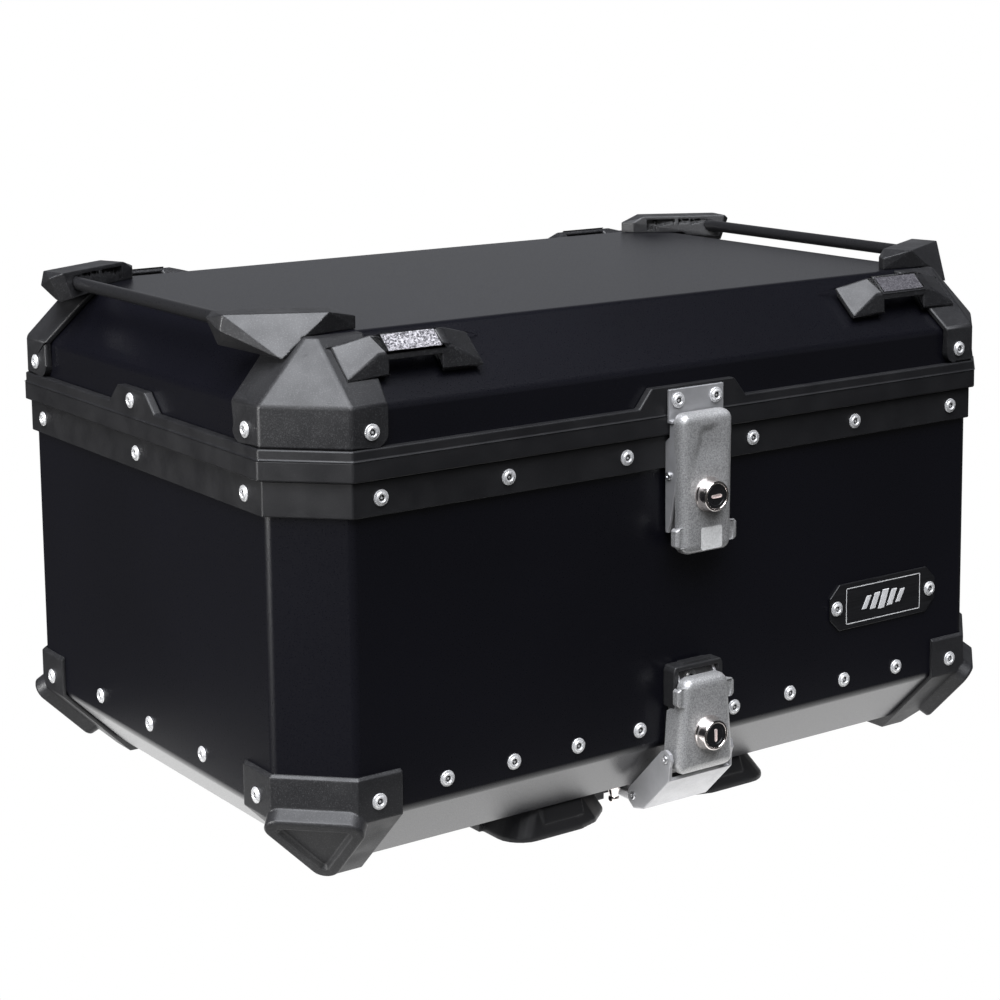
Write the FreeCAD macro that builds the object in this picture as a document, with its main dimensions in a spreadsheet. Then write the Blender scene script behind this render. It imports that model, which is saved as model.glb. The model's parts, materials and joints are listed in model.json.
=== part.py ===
"""Hard top case for a motorcycle: riveted sheet case, hinged lid, two key latches, base plate.

Frame: origin at the centre of the base plate's underside, +Z up, +X to the right of a person
who faces the latches, so the latches are at -Y and the lid's hinges at +Y. Millimetres.
"""
import FreeCAD, Part
import itertools
import math
import os
import Sketcher
from FreeCAD import Placement, Rotation, Vector

os.makedirs("parts", exist_ok=True)
doc = FreeCAD.newDocument("TopCase")
sheet = doc.addObject("Spreadsheet::Sheet", "Sizes")

SIZES = [
    # case outline: an oblong with cut corners
    ("case_half_length", 266.5), ("case_half_width", 185.3), ("corner_cut", 34.0), ("skin", 1.5),
    # levels above the rack
    ("plate_height", 20.0), ("floor_level", 24.0), ("bend_level", 58.0), ("rim_low", 228.0),
    ("shell_top", 244.0), ("seam_level", 248.0), ("seam_gap", 0.4), ("lid_step", 260.0),
    ("lid_rim_top", 266.0), ("lid_shoulder", 287.5), ("lid_top", 323.0), ("pan_top", 86.0),
    ("lid_flat_half_length", 232.0), ("lid_flat_half_width", 146.0),
    # plastic frames around the opening
    ("body_rim_proud", 3.0), ("lid_rim_proud", 6.3), ("lid_rim_upper", 5.6), ("rim_leg", 2.0),
    ("gasket_width", 4.0), ("gasket_depth", 4.0),
    # corner covers
    ("cover_proud", 4.5), ("cover_inner_x", 211.5), ("cover_inner_y", 124.0), ("cover_round", 8.0),
    ("cap_proud", 2.5), ("cap_inner_x", 205.0), ("cap_inner_y", 121.6), ("cap_top", 83.0),
    ("cap_bevel", 1.8), ("foot_level", 11.0),
    ("guard_tip", 31.5), ("guard_round", 9.0), ("guard_proud", 8.0), ("guard_bevel", 1.2),
    ("recess_tip", 24.5), ("recess_round", 3.5), ("recess_depth", 3.0),
    # blind rivets
    ("rivet_hole", 2.4), ("rivet_head", 4.65), ("rivet_dome", 1.6), ("rivet_bulb", 3.2),
    # luggage rail
    ("bar_radius", 4.0), ("bar_reach", 257.0), ("bar_level", 327.6), ("bar_end", 113.0),
    ("bracket_top", 335.0), ("screw_radius", 2.5), ("screw_top", 331.0), ("screw_head", 4.5),
    # grab loops
    ("loop_centre", 185.0), ("loop_half", 44.0), ("loop_top_half", 24.0), ("loop_rise", 10.0),
    # hinges
    ("hinge_offset", 196.4), ("hinge_level", 248.2), ("knuckle_radius", 4.5), ("pin_radius", 2.5),
    ("running_gap", 0.05), ("hinge_spacing", 150.0), ("hinge_width", 56.0), ("leaf", 2.0),
    # latches
    ("latch_half_width", 20.0), ("low_latch_half", 22.0), ("latch_face", 205.0),
    ("latch_wall", 2.0), ("cheek_outer", 16.2), ("low_cheek_outer", 15.0), ("cheek", 2.0),
    ("latch_pin", 2.5), ("top_pivot_depth", 192.0), ("top_pivot_level", 224.0),
    ("top_latch_low", 177.0), ("top_latch_high", 262.0), ("top_lock_level", 212.6),
    ("low_pivot_depth", 194.5), ("low_pivot_level", 51.7), ("low_latch_low", 42.0),
    ("low_latch_high", 101.0), ("low_lock_level", 66.6),
    ("barrel_radius", 9.0), ("barrel_face", 213.0), ("barrel_tail", 198.5), ("plug_radius", 6.5),
    ("cam_reach", 8.0), ("cam_sheet", 1.6), ("release_travel", 3.0), ("low_release_travel", 2.0),
    ("strike_half_width", 20.7), ("strike_sheet", 2.0),
    ("link_length", 45.0), ("link_gap", 22.3), ("link_sheet", 2.2), ("link_eye", 5.8),
    # base plate and its bolts
    ("plate_half_length", 105.0), ("plate_half_width", 110.0), ("lobe_front", 147.4),
    ("lobe_half", 102.5), ("lobe_round", 18.0), ("lobe_draft", 7.0), ("slot_half", 23.0),
    ("bolt_x", 160.0), ("bolt_y", 110.0), ("bolt_hole", 6.5), ("catch_depth", 118.0), ("catch_level", 14.0), ("catch_radius", 3.0),
    # folding stays that stop the lid
    ("stay_plane", 258.0), ("stay_anchor_y", 70.0), ("stay_low_level", 222.0),
    ("stay_high_level", 272.0), ("stay_half", 112.9), ("stay_width", 18.0), ("stay_sheet", 1.6),
    ("stay_pin", 3.0),
    # name plate without lettering
    ("badge_x", 161.0), ("badge_level", 118.0), ("badge_length", 92.0), ("badge_height", 30.0),
    ("badge_sheet", 1.5), ("badge_cut", 8.0), ("badge_rivets", 81.5),
]
for row, (name, value) in enumerate(SIZES, start=1):
    sheet.set(f"A{row}", name)
    sheet.set(f"B{row}", repr(value))
    sheet.setAlias(f"B{row}", name)
doc.recompute()


class Cells:
    """Reads the sheet's cells as plain numbers: size.skin."""

    def __getattr__(self, name):
        return float(sheet.get(name))


size = Cells()
parts = []

# ---------------------------------------------------------------- geometry helpers


def convex(points):
    """The convex solid whose corners are the points, with one flat face per side."""
    corners = [Vector(*p) for p in points]
    faces = []
    seen = set()
    for a, b, c in itertools.combinations(range(len(corners)), 3):
        normal = (corners[b] - corners[a]).cross(corners[c] - corners[a])
        if normal.Length < 1e-6:
            continue
        normal.normalize()
        heights = [normal.dot(p - corners[a]) for p in corners]
        if max(heights) > 1e-3 and min(heights) < -1e-3:
            continue
        if max(heights) > 1e-3:
            normal = -normal
        ring = tuple(i for i, height in enumerate(heights) if abs(height) <= 1e-3)
        if ring in seen:
            continue
        seen.add(ring)
        middle = sum((corners[i] for i in ring), Vector()) * (1.0 / len(ring))
        along = (corners[ring[0]] - middle).normalize()
        across = normal.cross(along)
        spokes = [corners[i] - middle for i in ring]
        turned = sorted(zip((math.atan2(s.dot(across), s.dot(along)) for s in spokes), ring))
        loop = drop_straight([corners[i] for _, i in turned])
        faces.append(Part.Face(Part.makePolygon(loop + [loop[0]])))
    solid = Part.Solid(Part.makeShell(faces))
    if solid.Volume < 0:
        solid.reverse()
    return solid


def drop_straight(loop):
    """A polygon's corners without those that lie on a straight side."""
    kept = []
    for i, point in enumerate(loop):
        before = point - loop[i - 1]
        after = loop[(i + 1) % len(loop)] - point
        if before.cross(after).Length > 1e-4 * before.Length * after.Length:
            kept.append(point)
    return kept


def block(x0, x1, y0, y1, z0, z1):
    return Part.makeBox(x1 - x0, y1 - y0, z1 - z0, Vector(x0, y0, z0))


def rod(centre, axis, radius, length):
    """A cylinder of the given length whose middle is at the centre."""
    direction = Vector(*axis).normalize()
    return Part.makeCylinder(radius, length, Vector(*centre) - direction * (length / 2), direction)


def slab(outline, x0, x1):
    """A flat piece between two X planes; the outline is in Y and Z."""
    loop = [Vector(x0, y, z) for y, z in outline]
    return Part.Face(Part.makePolygon(loop + [loop[0]])).extrude(Vector(x1 - x0, 0, 0))


def front_slab(outline, y0, y1):
    """A flat piece between two Y planes; the outline is in X and Z."""
    loop = [Vector(x, y0, z) for x, z in outline]
    return Part.Face(Part.makePolygon(loop + [loop[0]])).extrude(Vector(0, y1 - y0, 0))


def octagon(grow, level):
    """The case outline, grown outwards by a distance, at a level."""
    x = size.case_half_length + grow
    y = size.case_half_width + grow
    cut = size.corner_cut + grow * (2 - math.sqrt(2))
    quarter = [(x, y - cut), (x - cut, y)]
    points = [(sx * px, sy * py, level) for sx in (1, -1) for sy in (1, -1) for px, py in quarter]
    return points


def oblong(half_x, half_y, level):
    return [(sx * half_x, sy * half_y, level) for sx in (1, -1) for sy in (1, -1)]


def ring(outer, inner, low, high):
    """A band around the case between two offsets from its wall."""
    solid = convex(octagon(outer, low) + octagon(outer, high))
    return solid.cut(convex(octagon(inner, low) + octagon(inner, high)))


def mirrored(shape, flip_x=False, flip_y=False):
    result = shape
    if flip_x:
        result = result.mirror(Vector(), Vector(1, 0, 0))
    if flip_y:
        result = result.mirror(Vector(), Vector(0, 1, 0))
    return result


def fused(shapes):
    first = shapes[0]
    return first.fuse(shapes[1:]).removeSplitter() if len(shapes) > 1 else first


CORNERS = {"front_left": (True, True), "front_right": (False, True),
           "rear_left": (True, False), "rear_right": (False, False)}
PAIRS = {"front": ("front_left", "front_right"), "rear": ("rear_left", "rear_right")}


def pair(shape, row):
    """The left and right copies of a corner piece on the front or the rear of the case."""
    return Part.makeCompound([mirrored(shape, *CORNERS[name]) for name in PAIRS[row]])


def feature(label, shape):
    """A node whose shape is computed above."""
    item = doc.addObject("Part::Feature", label)
    item.Label = label
    item.Shape = shape
    item.Placement = Placement()
    parts.append(item)
    return item


# ---------------------------------------------------------------- PartDesign helpers


def body(label):
    item = doc.addObject("PartDesign::Body", label)
    item.Label = label
    parts.append(item)
    return item


def bind(item, path, formula):
    """Ties a property to a formula over the sheet's cells."""
    item.setExpression(path, formula)


def start_sketch(item, role, at):
    """A sketch on one of the body's own planes, moved by the three formulas in at."""
    drawing = item.newObject("Sketcher::SketchObject", item.Label + "_sketch")
    plane = [p for p in item.Origin.OriginFeatures if p.Role == role][0]
    drawing.AttachmentSupport = [(plane, "")]
    drawing.MapMode = "FlatFace"
    for axis, formula in zip("xyz", at):
        bind(drawing, "AttachmentOffset.Base." + axis, formula)
    return drawing


def rectangle(item, role, width, height, at=("0", "0", "0")):
    """A centred rectangle whose width and height are formulas."""
    drawing = start_sketch(item, role, at)
    loop = [Vector(-9, -9), Vector(9, -9), Vector(9, 9), Vector(-9, 9)]
    for i in range(4):
        drawing.addGeometry(Part.LineSegment(loop[i], loop[(i + 1) % 4]), False)
    for i in range(4):
        drawing.addConstraint(Sketcher.Constraint("Coincident", i, 2, (i + 1) % 4, 1))
    for line, kind in ((0, "Horizontal"), (1, "Vertical"), (2, "Horizontal"), (3, "Vertical")):
        drawing.addConstraint(Sketcher.Constraint(kind, line))
    drawing.addConstraint(Sketcher.Constraint("Symmetric", 0, 1, 2, 1, -1, 1))
    for line, kind, formula in ((0, "DistanceX", width), (1, "DistanceY", height)):
        index = drawing.addConstraint(Sketcher.Constraint(kind, line, 1, line, 2, 18.0))
        bind(drawing, f"Constraints[{index}]", formula)
    return drawing


def circle(item, role, radius, at=("0", "0", "0")):
    drawing = start_sketch(item, role, at)
    drawing.addGeometry(Part.Circle(Vector(), Vector(0, 0, 1), 5.0), False)
    drawing.addConstraint(Sketcher.Constraint("Coincident", 0, 3, -1, 1))
    index = drawing.addConstraint(Sketcher.Constraint("Radius", 0, 5.0))
    bind(drawing, f"Constraints[{index}]", radius)
    return drawing


def outline(item, role, points, at=("0", "0", "0")):
    """A closed polygon through points worked out from the sheet."""
    drawing = start_sketch(item, role, at)
    loop = [Vector(x, y) for x, y in points]
    for i, point in enumerate(loop):
        drawing.addGeometry(Part.LineSegment(point, loop[(i + 1) % len(loop)]), False)
    return drawing


def pad(item, drawing, length, both_ways=False):
    step = item.newObject("PartDesign::Pad", item.Label + "_pad")
    step.Profile = drawing
    bind(step, "Length", length)
    step.Midplane = both_ways
    return step


def pocket(item, drawing, length, both_ways=False, backwards=False):
    step = item.newObject("PartDesign::Pocket", item.Label + "_pocket")
    step.Profile = drawing
    bind(step, "Length", length)
    step.Midplane = both_ways
    step.Reversed = backwards
    return step


def pin(label, radius, length, at):
    """A round pin along X whose middle is at the three formulas."""
    item = doc.addObject("Part::Cylinder", label)
    item.Label = label
    bind(item, "Radius", radius)
    bind(item, "Height", length)
    item.Placement = Placement(Vector(), Rotation(Vector(0, 1, 0), 90))
    bind(item, "Placement.Base.x", f"{at[0]} - ({length}) / 2")
    bind(item, "Placement.Base.y", at[1])
    bind(item, "Placement.Base.z", at[2])
    parts.append(item)
    return item


# ---------------------------------------------------------------- rivets


def rivet(point, normal, stack):
    """A set blind rivet: domed head outside, shank through the stack, bulb inside."""
    hole = size.rivet_hole
    head = size.rivet_head
    dome = size.rivet_dome
    profile = [(0, 0.4), (1.2, 0.4), (1.4, dome), (hole, dome), (head - 0.9, dome * 0.75),
               (head, 0.3), (head, 0), (hole, 0), (hole, -stack), (size.rivet_bulb, -stack),
               (size.rivet_bulb, -stack - 2.5), (1.2, -stack - 4.5), (0, -stack - 4.5)]
    loop = [Vector(r, 0, h) for r, h in profile]
    solid = Part.Face(Part.makePolygon(loop + [loop[0]])).revolve(Vector(), Vector(0, 0, 1), 360)
    turn = Rotation(Vector(0, 0, 1), Vector(*normal))
    solid.Placement = Placement(Vector(*point), turn)
    return solid


def drilled(shape, places, radius=None):
    """The shape with a hole for each rivet."""
    reach = 24.0
    tools = [rod(point, normal, radius or size.rivet_hole, reach) for point, normal in places]
    return shape.cut(tools)


def rear_places(xs, level, proud):
    return [((x, size.case_half_width + proud, level), (0, 1, 0)) for x in xs]


def front_places(xs, level, proud):
    return [((x, -size.case_half_width - proud, level), (0, -1, 0)) for x in xs]


def front_and_back(xs, level, proud):
    return front_places(xs, level, proud) + rear_places(xs, level, proud)


def both_sides(ys, level, proud):
    x = size.case_half_length + proud
    return [((s * x, y, level), (s, 0, 0)) for s in (-1, 1) for y in ys]


def hinge_places(level, proud):
    """Where a leaf's rivets sit, on both hinges."""
    y = size.case_half_width + proud + size.leaf
    return [((side * size.hinge_spacing + s * 18, y, level), (0, 1, 0))
            for side in (-1, 1) for s in (-1, 1)]


rim_places = (front_places([-216.2, -132.2, -48.2, 48.2, 132.2, 216.2], 238.0,
                           size.body_rim_proud)
              + rear_places([-216.2, -72.0, 72.0, 216.2], 238.0, size.body_rim_proud)
              + both_sides([-133.5, 0.0, 133.5], 238.0, size.body_rim_proud))
low_places = (front_and_back([-174.1, -128.3, -82.5, -36.7, 36.7, 82.5, 128.3, 174.1], 70.0, 0.0)
              + both_sides([-68.3, 0.0, 68.3], 71.0, 0.0))
cap_places = (front_and_back([-220.4, 220.4], 67.5, size.cap_proud)
              + both_sides([-137.0, 137.0], 67.0, size.cap_proud))
cover_places = (front_and_back([-222.0, 222.0], 275.0, size.cover_proud)
                + both_sides([-139.0, 139.0], 274.5, size.cover_proud))
tab_places = both_sides([0.0], 270.0, size.lid_rim_upper)
badge_half = size.badge_rivets / 2
badge_places = front_places([size.badge_x - badge_half, size.badge_x + badge_half],
                            size.badge_level, size.badge_sheet)
strike_places = front_places([-14.35, 14.35], 269.0, size.lid_rim_proud + size.strike_sheet)
body_leaf_places = hinge_places(214.0, size.body_rim_proud)
lid_leaf_places = hinge_places(269.5, size.lid_rim_proud)
top_rim_mounts = front_places([-9.0, 9.0], 236.0, size.body_rim_proud + size.cheek)
top_wall_mounts = front_places([0.0], 196.0, size.body_rim_proud + size.cheek)
low_high_mounts = front_places([0.0], 97.0, size.cheek)
low_low_mounts = front_places([0.0], 75.0, size.cheek)
bracket_screws = [(213.0, 136.0), (226.0, 131.0)]
screw_lines = [((sx * x, sy * y, size.lid_top), (0, 0, 1))
               for sx in (-1, 1) for sy in (-1, 1) for x, y in bracket_screws]


# ---------------------------------------------------------------- case body


def lower_solid(inset):
    """The lower case as a full solid, drawn in from the outer face by inset."""
    bend = size.bend_level + inset * (math.sqrt(2) - 1)
    flare = size.bend_level - size.floor_level
    half_x = size.case_half_length - flare - inset * math.sqrt(2)
    half_y = size.case_half_width - flare - inset * math.sqrt(2)
    floor = oblong(half_x, half_y, size.floor_level)
    return convex(octagon(-inset, size.shell_top) + octagon(-inset, bend) + floor)


def body_shell():
    shell = lower_solid(0.0).cut(lower_solid(size.skin))
    return drilled(shell, rim_places + low_places + cap_places + badge_places + body_leaf_places
                   + top_rim_mounts + top_wall_mounts + low_high_mounts + low_low_mounts)


def bottom_pan():
    """The inner pan: floor, slopes and a short upright wall, riveted inside the shell."""
    cut_high = block(-400, 400, -400, 400, size.pan_top, 400)
    pan = lower_solid(size.skin).cut(lower_solid(2 * size.skin).cut(
        block(-400, 400, -400, 400, 0, size.floor_level + size.skin)))
    return drilled(pan.cut(cut_high), low_places + cap_places + low_low_mounts)


def body_rim():
    inner = -size.skin - size.rim_leg
    outer_leg = ring(size.body_rim_proud, 0.0, size.rim_low, size.shell_top)
    cap = ring(size.body_rim_proud, inner, size.shell_top, size.seam_level)
    inner_leg = ring(-size.skin, inner, size.rim_low + 4, size.shell_top)
    return drilled(fused([outer_leg, cap, inner_leg]), rim_places + top_rim_mounts)


def rounded_triangle(middle, spokes, tip, radius, lift):
    """A triangular face with round corners; tip is the distance from the middle to a corner."""
    loop = [middle + spoke * (tip - radius) for spoke in spokes]
    face = Part.Face(Part.makePolygon(loop + [loop[0]])).makeOffset2D(radius)
    face.translate(lift)
    return face


def corner_guard():
    """The raised three-sided guard on the sloped corner, with a sunk field in its face."""
    x = size.case_half_length
    y = size.case_half_width
    cut = size.corner_cut
    facet = [Vector(x - cut, y, size.bend_level), Vector(x, y - cut, size.bend_level),
             Vector(x - cut, y - cut, size.floor_level)]
    middle = (facet[0] + facet[1] + facet[2]) * (1 / 3)
    spokes = [(corner - middle).normalize() for corner in facet]
    outward = Vector(1, 1, -1).normalize()
    root = 3.0
    face = rounded_triangle(middle, spokes, size.guard_tip, size.guard_round, outward * -root)
    guard = face.extrude(outward * (size.guard_proud + root))
    height = outward.dot(middle) + size.guard_proud
    rim = [e for e in guard.Edges
           if all(abs(outward.dot(v.Point) - height) < 0.01 for v in e.Vertexes)]
    guard = guard.makeChamfer(size.guard_bevel, rim)
    top = rounded_triangle(middle, spokes, size.recess_tip, size.recess_round,
                           outward * (size.guard_proud + 0.1))
    bottom = rounded_triangle(middle, spokes, size.recess_tip - 2.5, size.recess_round - 2,
                              outward * (size.guard_proud - size.recess_depth))
    return guard.cut(Part.makeLoft([top.OuterWire, bottom.OuterWire], True, True))


def bottom_cap():
    """Corner cap: a band on the walls, plates on the slopes down to a foot, and the guard."""
    proud = size.cap_proud
    bend = size.bend_level - proud * (math.sqrt(2) - 1)
    run = size.bend_level - size.floor_level - proud * math.sqrt(2)
    drop = size.floor_level - size.foot_level
    half_x = size.case_half_length - run
    half_y = size.case_half_width - run
    wrap = convex(octagon(proud - size.cap_bevel, size.cap_top)
                  + octagon(proud, size.cap_top - size.cap_bevel) + octagon(proud, bend)
                  + oblong(half_x, half_y, size.floor_level)
                  + oblong(half_x - drop, half_y - drop, size.foot_level))
    corner = wrap.common(block(size.cap_inner_x, 400, size.cap_inner_y, 400, 0, size.cap_top))
    return drilled(fused([corner, corner_guard()]).cut(lower_solid(0.0)), cap_places)


feature("body_shell", body_shell())
feature("bottom_pan", bottom_pan())
feature("body_rim", body_rim())
cap_shape = bottom_cap()
for row in PAIRS:
    feature("corner_caps_" + row, pair(cap_shape, row))

liner = body("floor_liner")
liner_plan = rectangle(liner, "XY_Plane", "2 * (Sizes.case_half_length - Sizes.corner_cut) - 10",
                       "2 * (Sizes.case_half_width - Sizes.corner_cut) - 10",
                       ("0", "0", "Sizes.floor_level + Sizes.skin"))
pad(liner, liner_plan, "3")


def badge_outline():
    half_x = size.badge_length / 2
    half_z = size.badge_height / 2
    cut = size.badge_cut
    quarter = [(half_x, half_z - cut), (half_x - cut, half_z)]
    loop = quarter + [(-x, z) for x, z in reversed(quarter)]
    return loop + [(-x, -z) for x, z in loop]


badge = body("name_plate")
pad(badge, outline(badge, "XZ_Plane", badge_outline(),
                   ("Sizes.badge_x", "Sizes.badge_level", "Sizes.case_half_width")),
    "Sizes.badge_sheet")
for side in ("-", "+"):
    hole = circle(badge, "XZ_Plane", "Sizes.rivet_hole",
                  (f"Sizes.badge_x {side} Sizes.badge_rivets / 2", "Sizes.badge_level",
                   "Sizes.case_half_width"))
    pocket(badge, hole, "2 * Sizes.badge_sheet", backwards=True)


# ---------------------------------------------------------------- lid


def lid_solid(inset):
    """The lid's sheet as a full solid, drawn in from the outer face by inset."""
    rise = size.lid_top - size.lid_shoulder
    run_x = size.case_half_length - size.lid_flat_half_length
    run_y = size.case_half_width - size.lid_flat_half_width
    shift_x = inset * (math.hypot(run_x, rise) - run_x) / rise
    shift_y = inset * (math.hypot(run_y, rise) - run_y) / rise
    shoulder = size.lid_shoulder - 0.42 * inset
    flat = oblong(size.lid_flat_half_length - shift_x, size.lid_flat_half_width - shift_y,
                  size.lid_top - inset)
    low = size.lid_step - 4
    return convex(octagon(-inset, low) + octagon(-inset, shoulder) + flat)


def lid_shell():
    shell = lid_solid(0.0).cut(lid_solid(size.skin))
    shell = drilled(shell, cover_places + tab_places + strike_places + lid_leaf_places)
    return drilled(shell, screw_lines, size.screw_radius)


def tab(half_top, half_foot, top):
    """A trapezoid plate on the front wall above the lid rim, also used on the sides."""
    y = -size.case_half_width
    loop = [(-half_foot, size.lid_rim_top - 2), (half_foot, size.lid_rim_top - 2),
            (half_foot, size.lid_rim_top), (half_top, top), (-half_top, top),
            (-half_foot, size.lid_rim_top)]
    return front_slab(loop, y, y - size.lid_rim_upper)


def lid_rim():
    low = size.seam_level + size.seam_gap
    base_top = size.lid_step - 4
    inner = -size.skin - size.rim_leg
    outer_leg = ring(size.lid_rim_proud, 0.0, base_top, size.lid_step)
    upper_leg = ring(size.lid_rim_upper, 0.0, size.lid_step, size.lid_rim_top)
    base = ring(size.lid_rim_proud, inner, low, base_top)
    inner_leg = ring(-size.skin, inner, base_top, size.lid_step + 2)
    front = tab(31.7, 40.6, 277.2)
    rear = mirrored(front, flip_y=True)
    sides = []
    for angle in (90, -90):
        side = tab(18.0, 30.0, 277.3)
        side.translate(Vector(0, size.case_half_width - size.case_half_length, 0))
        side.rotate(Vector(), Vector(0, 0, 1), angle)
        sides.append(side)
    pads = [block(s * size.hinge_spacing - 32, s * size.hinge_spacing + 32, size.case_half_width,
                  size.case_half_width + size.lid_rim_proud, size.lid_rim_top - 8, 277.2)
            for s in (-1, 1)]
    rim = fused([outer_leg, upper_leg, base, inner_leg, front, rear] + sides + pads)
    groove = ring(0.5, 0.5 - size.gasket_width, low, low + size.gasket_depth)
    return drilled(rim.cut(groove), tab_places + strike_places + lid_leaf_places)


def corner_cover():
    """Lid corner cover: wraps two walls, the cut corner and the slopes above them."""
    rise = size.lid_top - size.lid_shoulder
    grown = convex(octagon(size.cover_proud, size.lid_rim_top)
                   + octagon(size.cover_proud, size.lid_shoulder + 1.9)
                   + oblong(size.lid_flat_half_length + 1.9, size.lid_flat_half_width + 1.9,
                            size.lid_top + size.cover_proud))
    lean = 8.0
    front = front_slab([(size.cover_inner_x, size.lid_rim_top), (400, size.lid_rim_top),
                        (400, size.lid_top), (size.cover_inner_x - lean, size.lid_top),
                        (size.cover_inner_x, size.lid_shoulder)], 0, 400)
    side = slab([(size.cover_inner_y, size.lid_rim_top), (400, size.lid_rim_top),
                 (400, size.lid_top), (size.cover_inner_y - lean, size.lid_top),
                 (size.cover_inner_y, size.lid_shoulder)], 0, 400)
    radius = size.cover_round
    low_edge = [e for e in front.Edges if e.Length > 399 and e.BoundBox.ZMax < size.lid_rim_top + 1
                and e.BoundBox.XMax < size.cover_inner_x + 1]
    front = front.makeFillet(radius, low_edge)
    low_edge = [e for e in side.Edges if e.Length > 399 and e.BoundBox.ZMax < size.lid_rim_top + 1
                and e.BoundBox.YMax < size.cover_inner_y + 1]
    side = side.makeFillet(radius, low_edge)
    cover = grown.common(front).common(side).cut(lid_solid(0.0))
    return drilled(drilled(cover, cover_places), screw_lines, size.screw_radius)


def lid_gasket():
    low = size.seam_level + 0.1
    top = size.seam_level + size.seam_gap + size.gasket_depth
    return ring(0.5, 0.5 - size.gasket_width, low, top)


feature("lid_shell", lid_shell())
feature("lid_rim", lid_rim())
feature("lid_gasket", lid_gasket())
cover_shape = corner_cover()
for row in PAIRS:
    feature("lid_corners_" + row, pair(cover_shape, row))


# ---------------------------------------------------------------- luggage rail


def cover_envelope():
    """The space that the lid and its corner covers fill, under the brackets."""
    return convex(octagon(size.cover_proud, size.lid_rim_top)
                  + octagon(size.cover_proud, size.lid_shoulder + 1.9)
                  + oblong(size.lid_flat_half_length + 1.9, size.lid_flat_half_width + 1.9,
                           size.lid_top + size.cover_proud)).common(
        block(-400, 400, -400, 400, 0, size.lid_top))


def bracket():
    """Rail bracket on the +X +Y corner: a slanted arm from the lid's edge out to the bar."""
    top = size.bracket_top
    floor = size.lid_top
    arm = convex([(201, 140.5, floor), (201, 140.5, top - 4.5), (206, 131.5, floor),
                  (206, 131.5, top - 4.5), (213, 128.5, top), (268, 99, top), (275, 104, top - 3),
                  (272.3, 118.7, top), (274.4, 118.7, top - 9), (252.3, 147.4, top - 23),
                  (221, 146.5, top), (223.5, 141.5, floor + 2), (262, 98, top - 16),
                  (268, 104, top - 19), (226, 120, floor)])
    arm = arm.cut(cover_envelope())
    along = Vector(0.885, -0.465, 0)
    turn = math.degrees(math.atan2(along.y, along.x))
    for start, width, depth in ((1.0, 21.0, 5.5), (25.0, 24.0, 10.0)):
        hollow = Part.makeBox(width, depth + 1.5, 7.5, Vector(start, 0, 0))
        hollow.Placement = Placement(Vector(214, 127, floor + 2), Rotation(Vector(0, 0, 1), turn))
        arm = arm.cut(hollow)
    arm = arm.cut(Part.makeCylinder(size.bar_radius, size.bar_end,
                                    Vector(size.bar_reach, 0, size.bar_level), Vector(0, 1, 0)))
    for x, y in bracket_screws:
        arm = arm.cut(Part.makeCylinder(size.screw_radius, size.screw_top - floor + 0.4,
                                        Vector(x, y, floor)))
    return max(arm.Solids, key=lambda s: s.Volume)


def bracket_screw_set():
    """Pan-head screws driven from inside the lid up into the four brackets."""
    screws = []
    seat = size.lid_top - size.skin
    thick = 2.6
    for flip_x, flip_y in CORNERS.values():
        for x, y in bracket_screws:
            head = Part.makeCylinder(size.screw_head, thick, Vector(x, y, seat - thick))
            shank = Part.makeCylinder(size.screw_radius, size.screw_top - seat, Vector(x, y, seat))
            socket = Part.makeCylinder(1.5, 1.4, Vector(x, y, seat - thick))
            screws.append(mirrored(head.fuse(shank).cut(socket), flip_x, flip_y))
    return Part.makeCompound(screws)


bracket_shape = bracket()
for corner, (flip_x, flip_y) in CORNERS.items():
    feature("rail_bracket_" + corner, mirrored(bracket_shape, flip_x, flip_y))
feature("bracket_screws", bracket_screw_set())
for name, side in (("left", "-"), ("right", "")):
    bar = doc.addObject("Part::Cylinder", "rail_bar_" + name)
    bar.Label = "rail_bar_" + name
    bind(bar, "Radius", "Sizes.bar_radius")
    bind(bar, "Height", "2 * Sizes.bar_end")
    bar.Placement = Placement(Vector(), Rotation(Vector(1, 0, 0), -90))
    bind(bar, "Placement.Base.x", side + "Sizes.bar_reach")
    bind(bar, "Placement.Base.y", "-Sizes.bar_end")
    bind(bar, "Placement.Base.z", "Sizes.bar_level")
    parts.append(bar)


# ---------------------------------------------------------------- grab loops on the long slopes


def slope_frame(x):
    """Maps (along, up the slope, off the slope) to the rear slope at the given X."""
    run = size.case_half_width - size.lid_flat_half_width
    rise = size.lid_top - size.lid_shoulder
    length = math.hypot(run, rise)
    up = Vector(0, -run / length, rise / length)
    off = Vector(0, rise / length, run / length)
    foot = Vector(x, size.case_half_width, size.lid_shoulder)
    return lambda a, b, c: tuple(foot + Vector(a, 0, 0) + up * b + off * c)


def grab_loop():
    """A strap-like loop: bevelled end blocks and a raised bridge with a recess for its strip."""
    at = slope_frame(size.loop_centre)
    half = size.loop_half
    top = size.loop_top_half
    rise = size.loop_rise
    base = size.cover_proud + 0.2
    hull = convex([at(a * half, b, base) for a in (-1, 1) for b in (15, 40)]
                  + [at(a * half, b, base + 1.5) for a in (-1, 1) for b in (16, 39)]
                  + [at(a * top, b, base + rise) for a in (-1, 1) for b in (24, 38)])
    tunnel = convex([at(a * 17, b, c) for a in (-1, 1) for b in (0, 60)
                     for c in (base - 1, base + rise - 3.5)])
    seat = convex([at(a * 17.5, b, c) for a in (-1, 1) for b in (24.8, 37.2)
                   for c in (base + rise - 0.8, base + rise + 2)])
    feet = [convex([at(s * a, b, c) for a in (20, half - 3) for b in (17, 38) for c in (0, base)])
            for s in (-1, 1)]
    loop = hull.cut([tunnel, seat]).fuse(feet).removeSplitter()
    return loop.cut(cover_shape)


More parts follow.
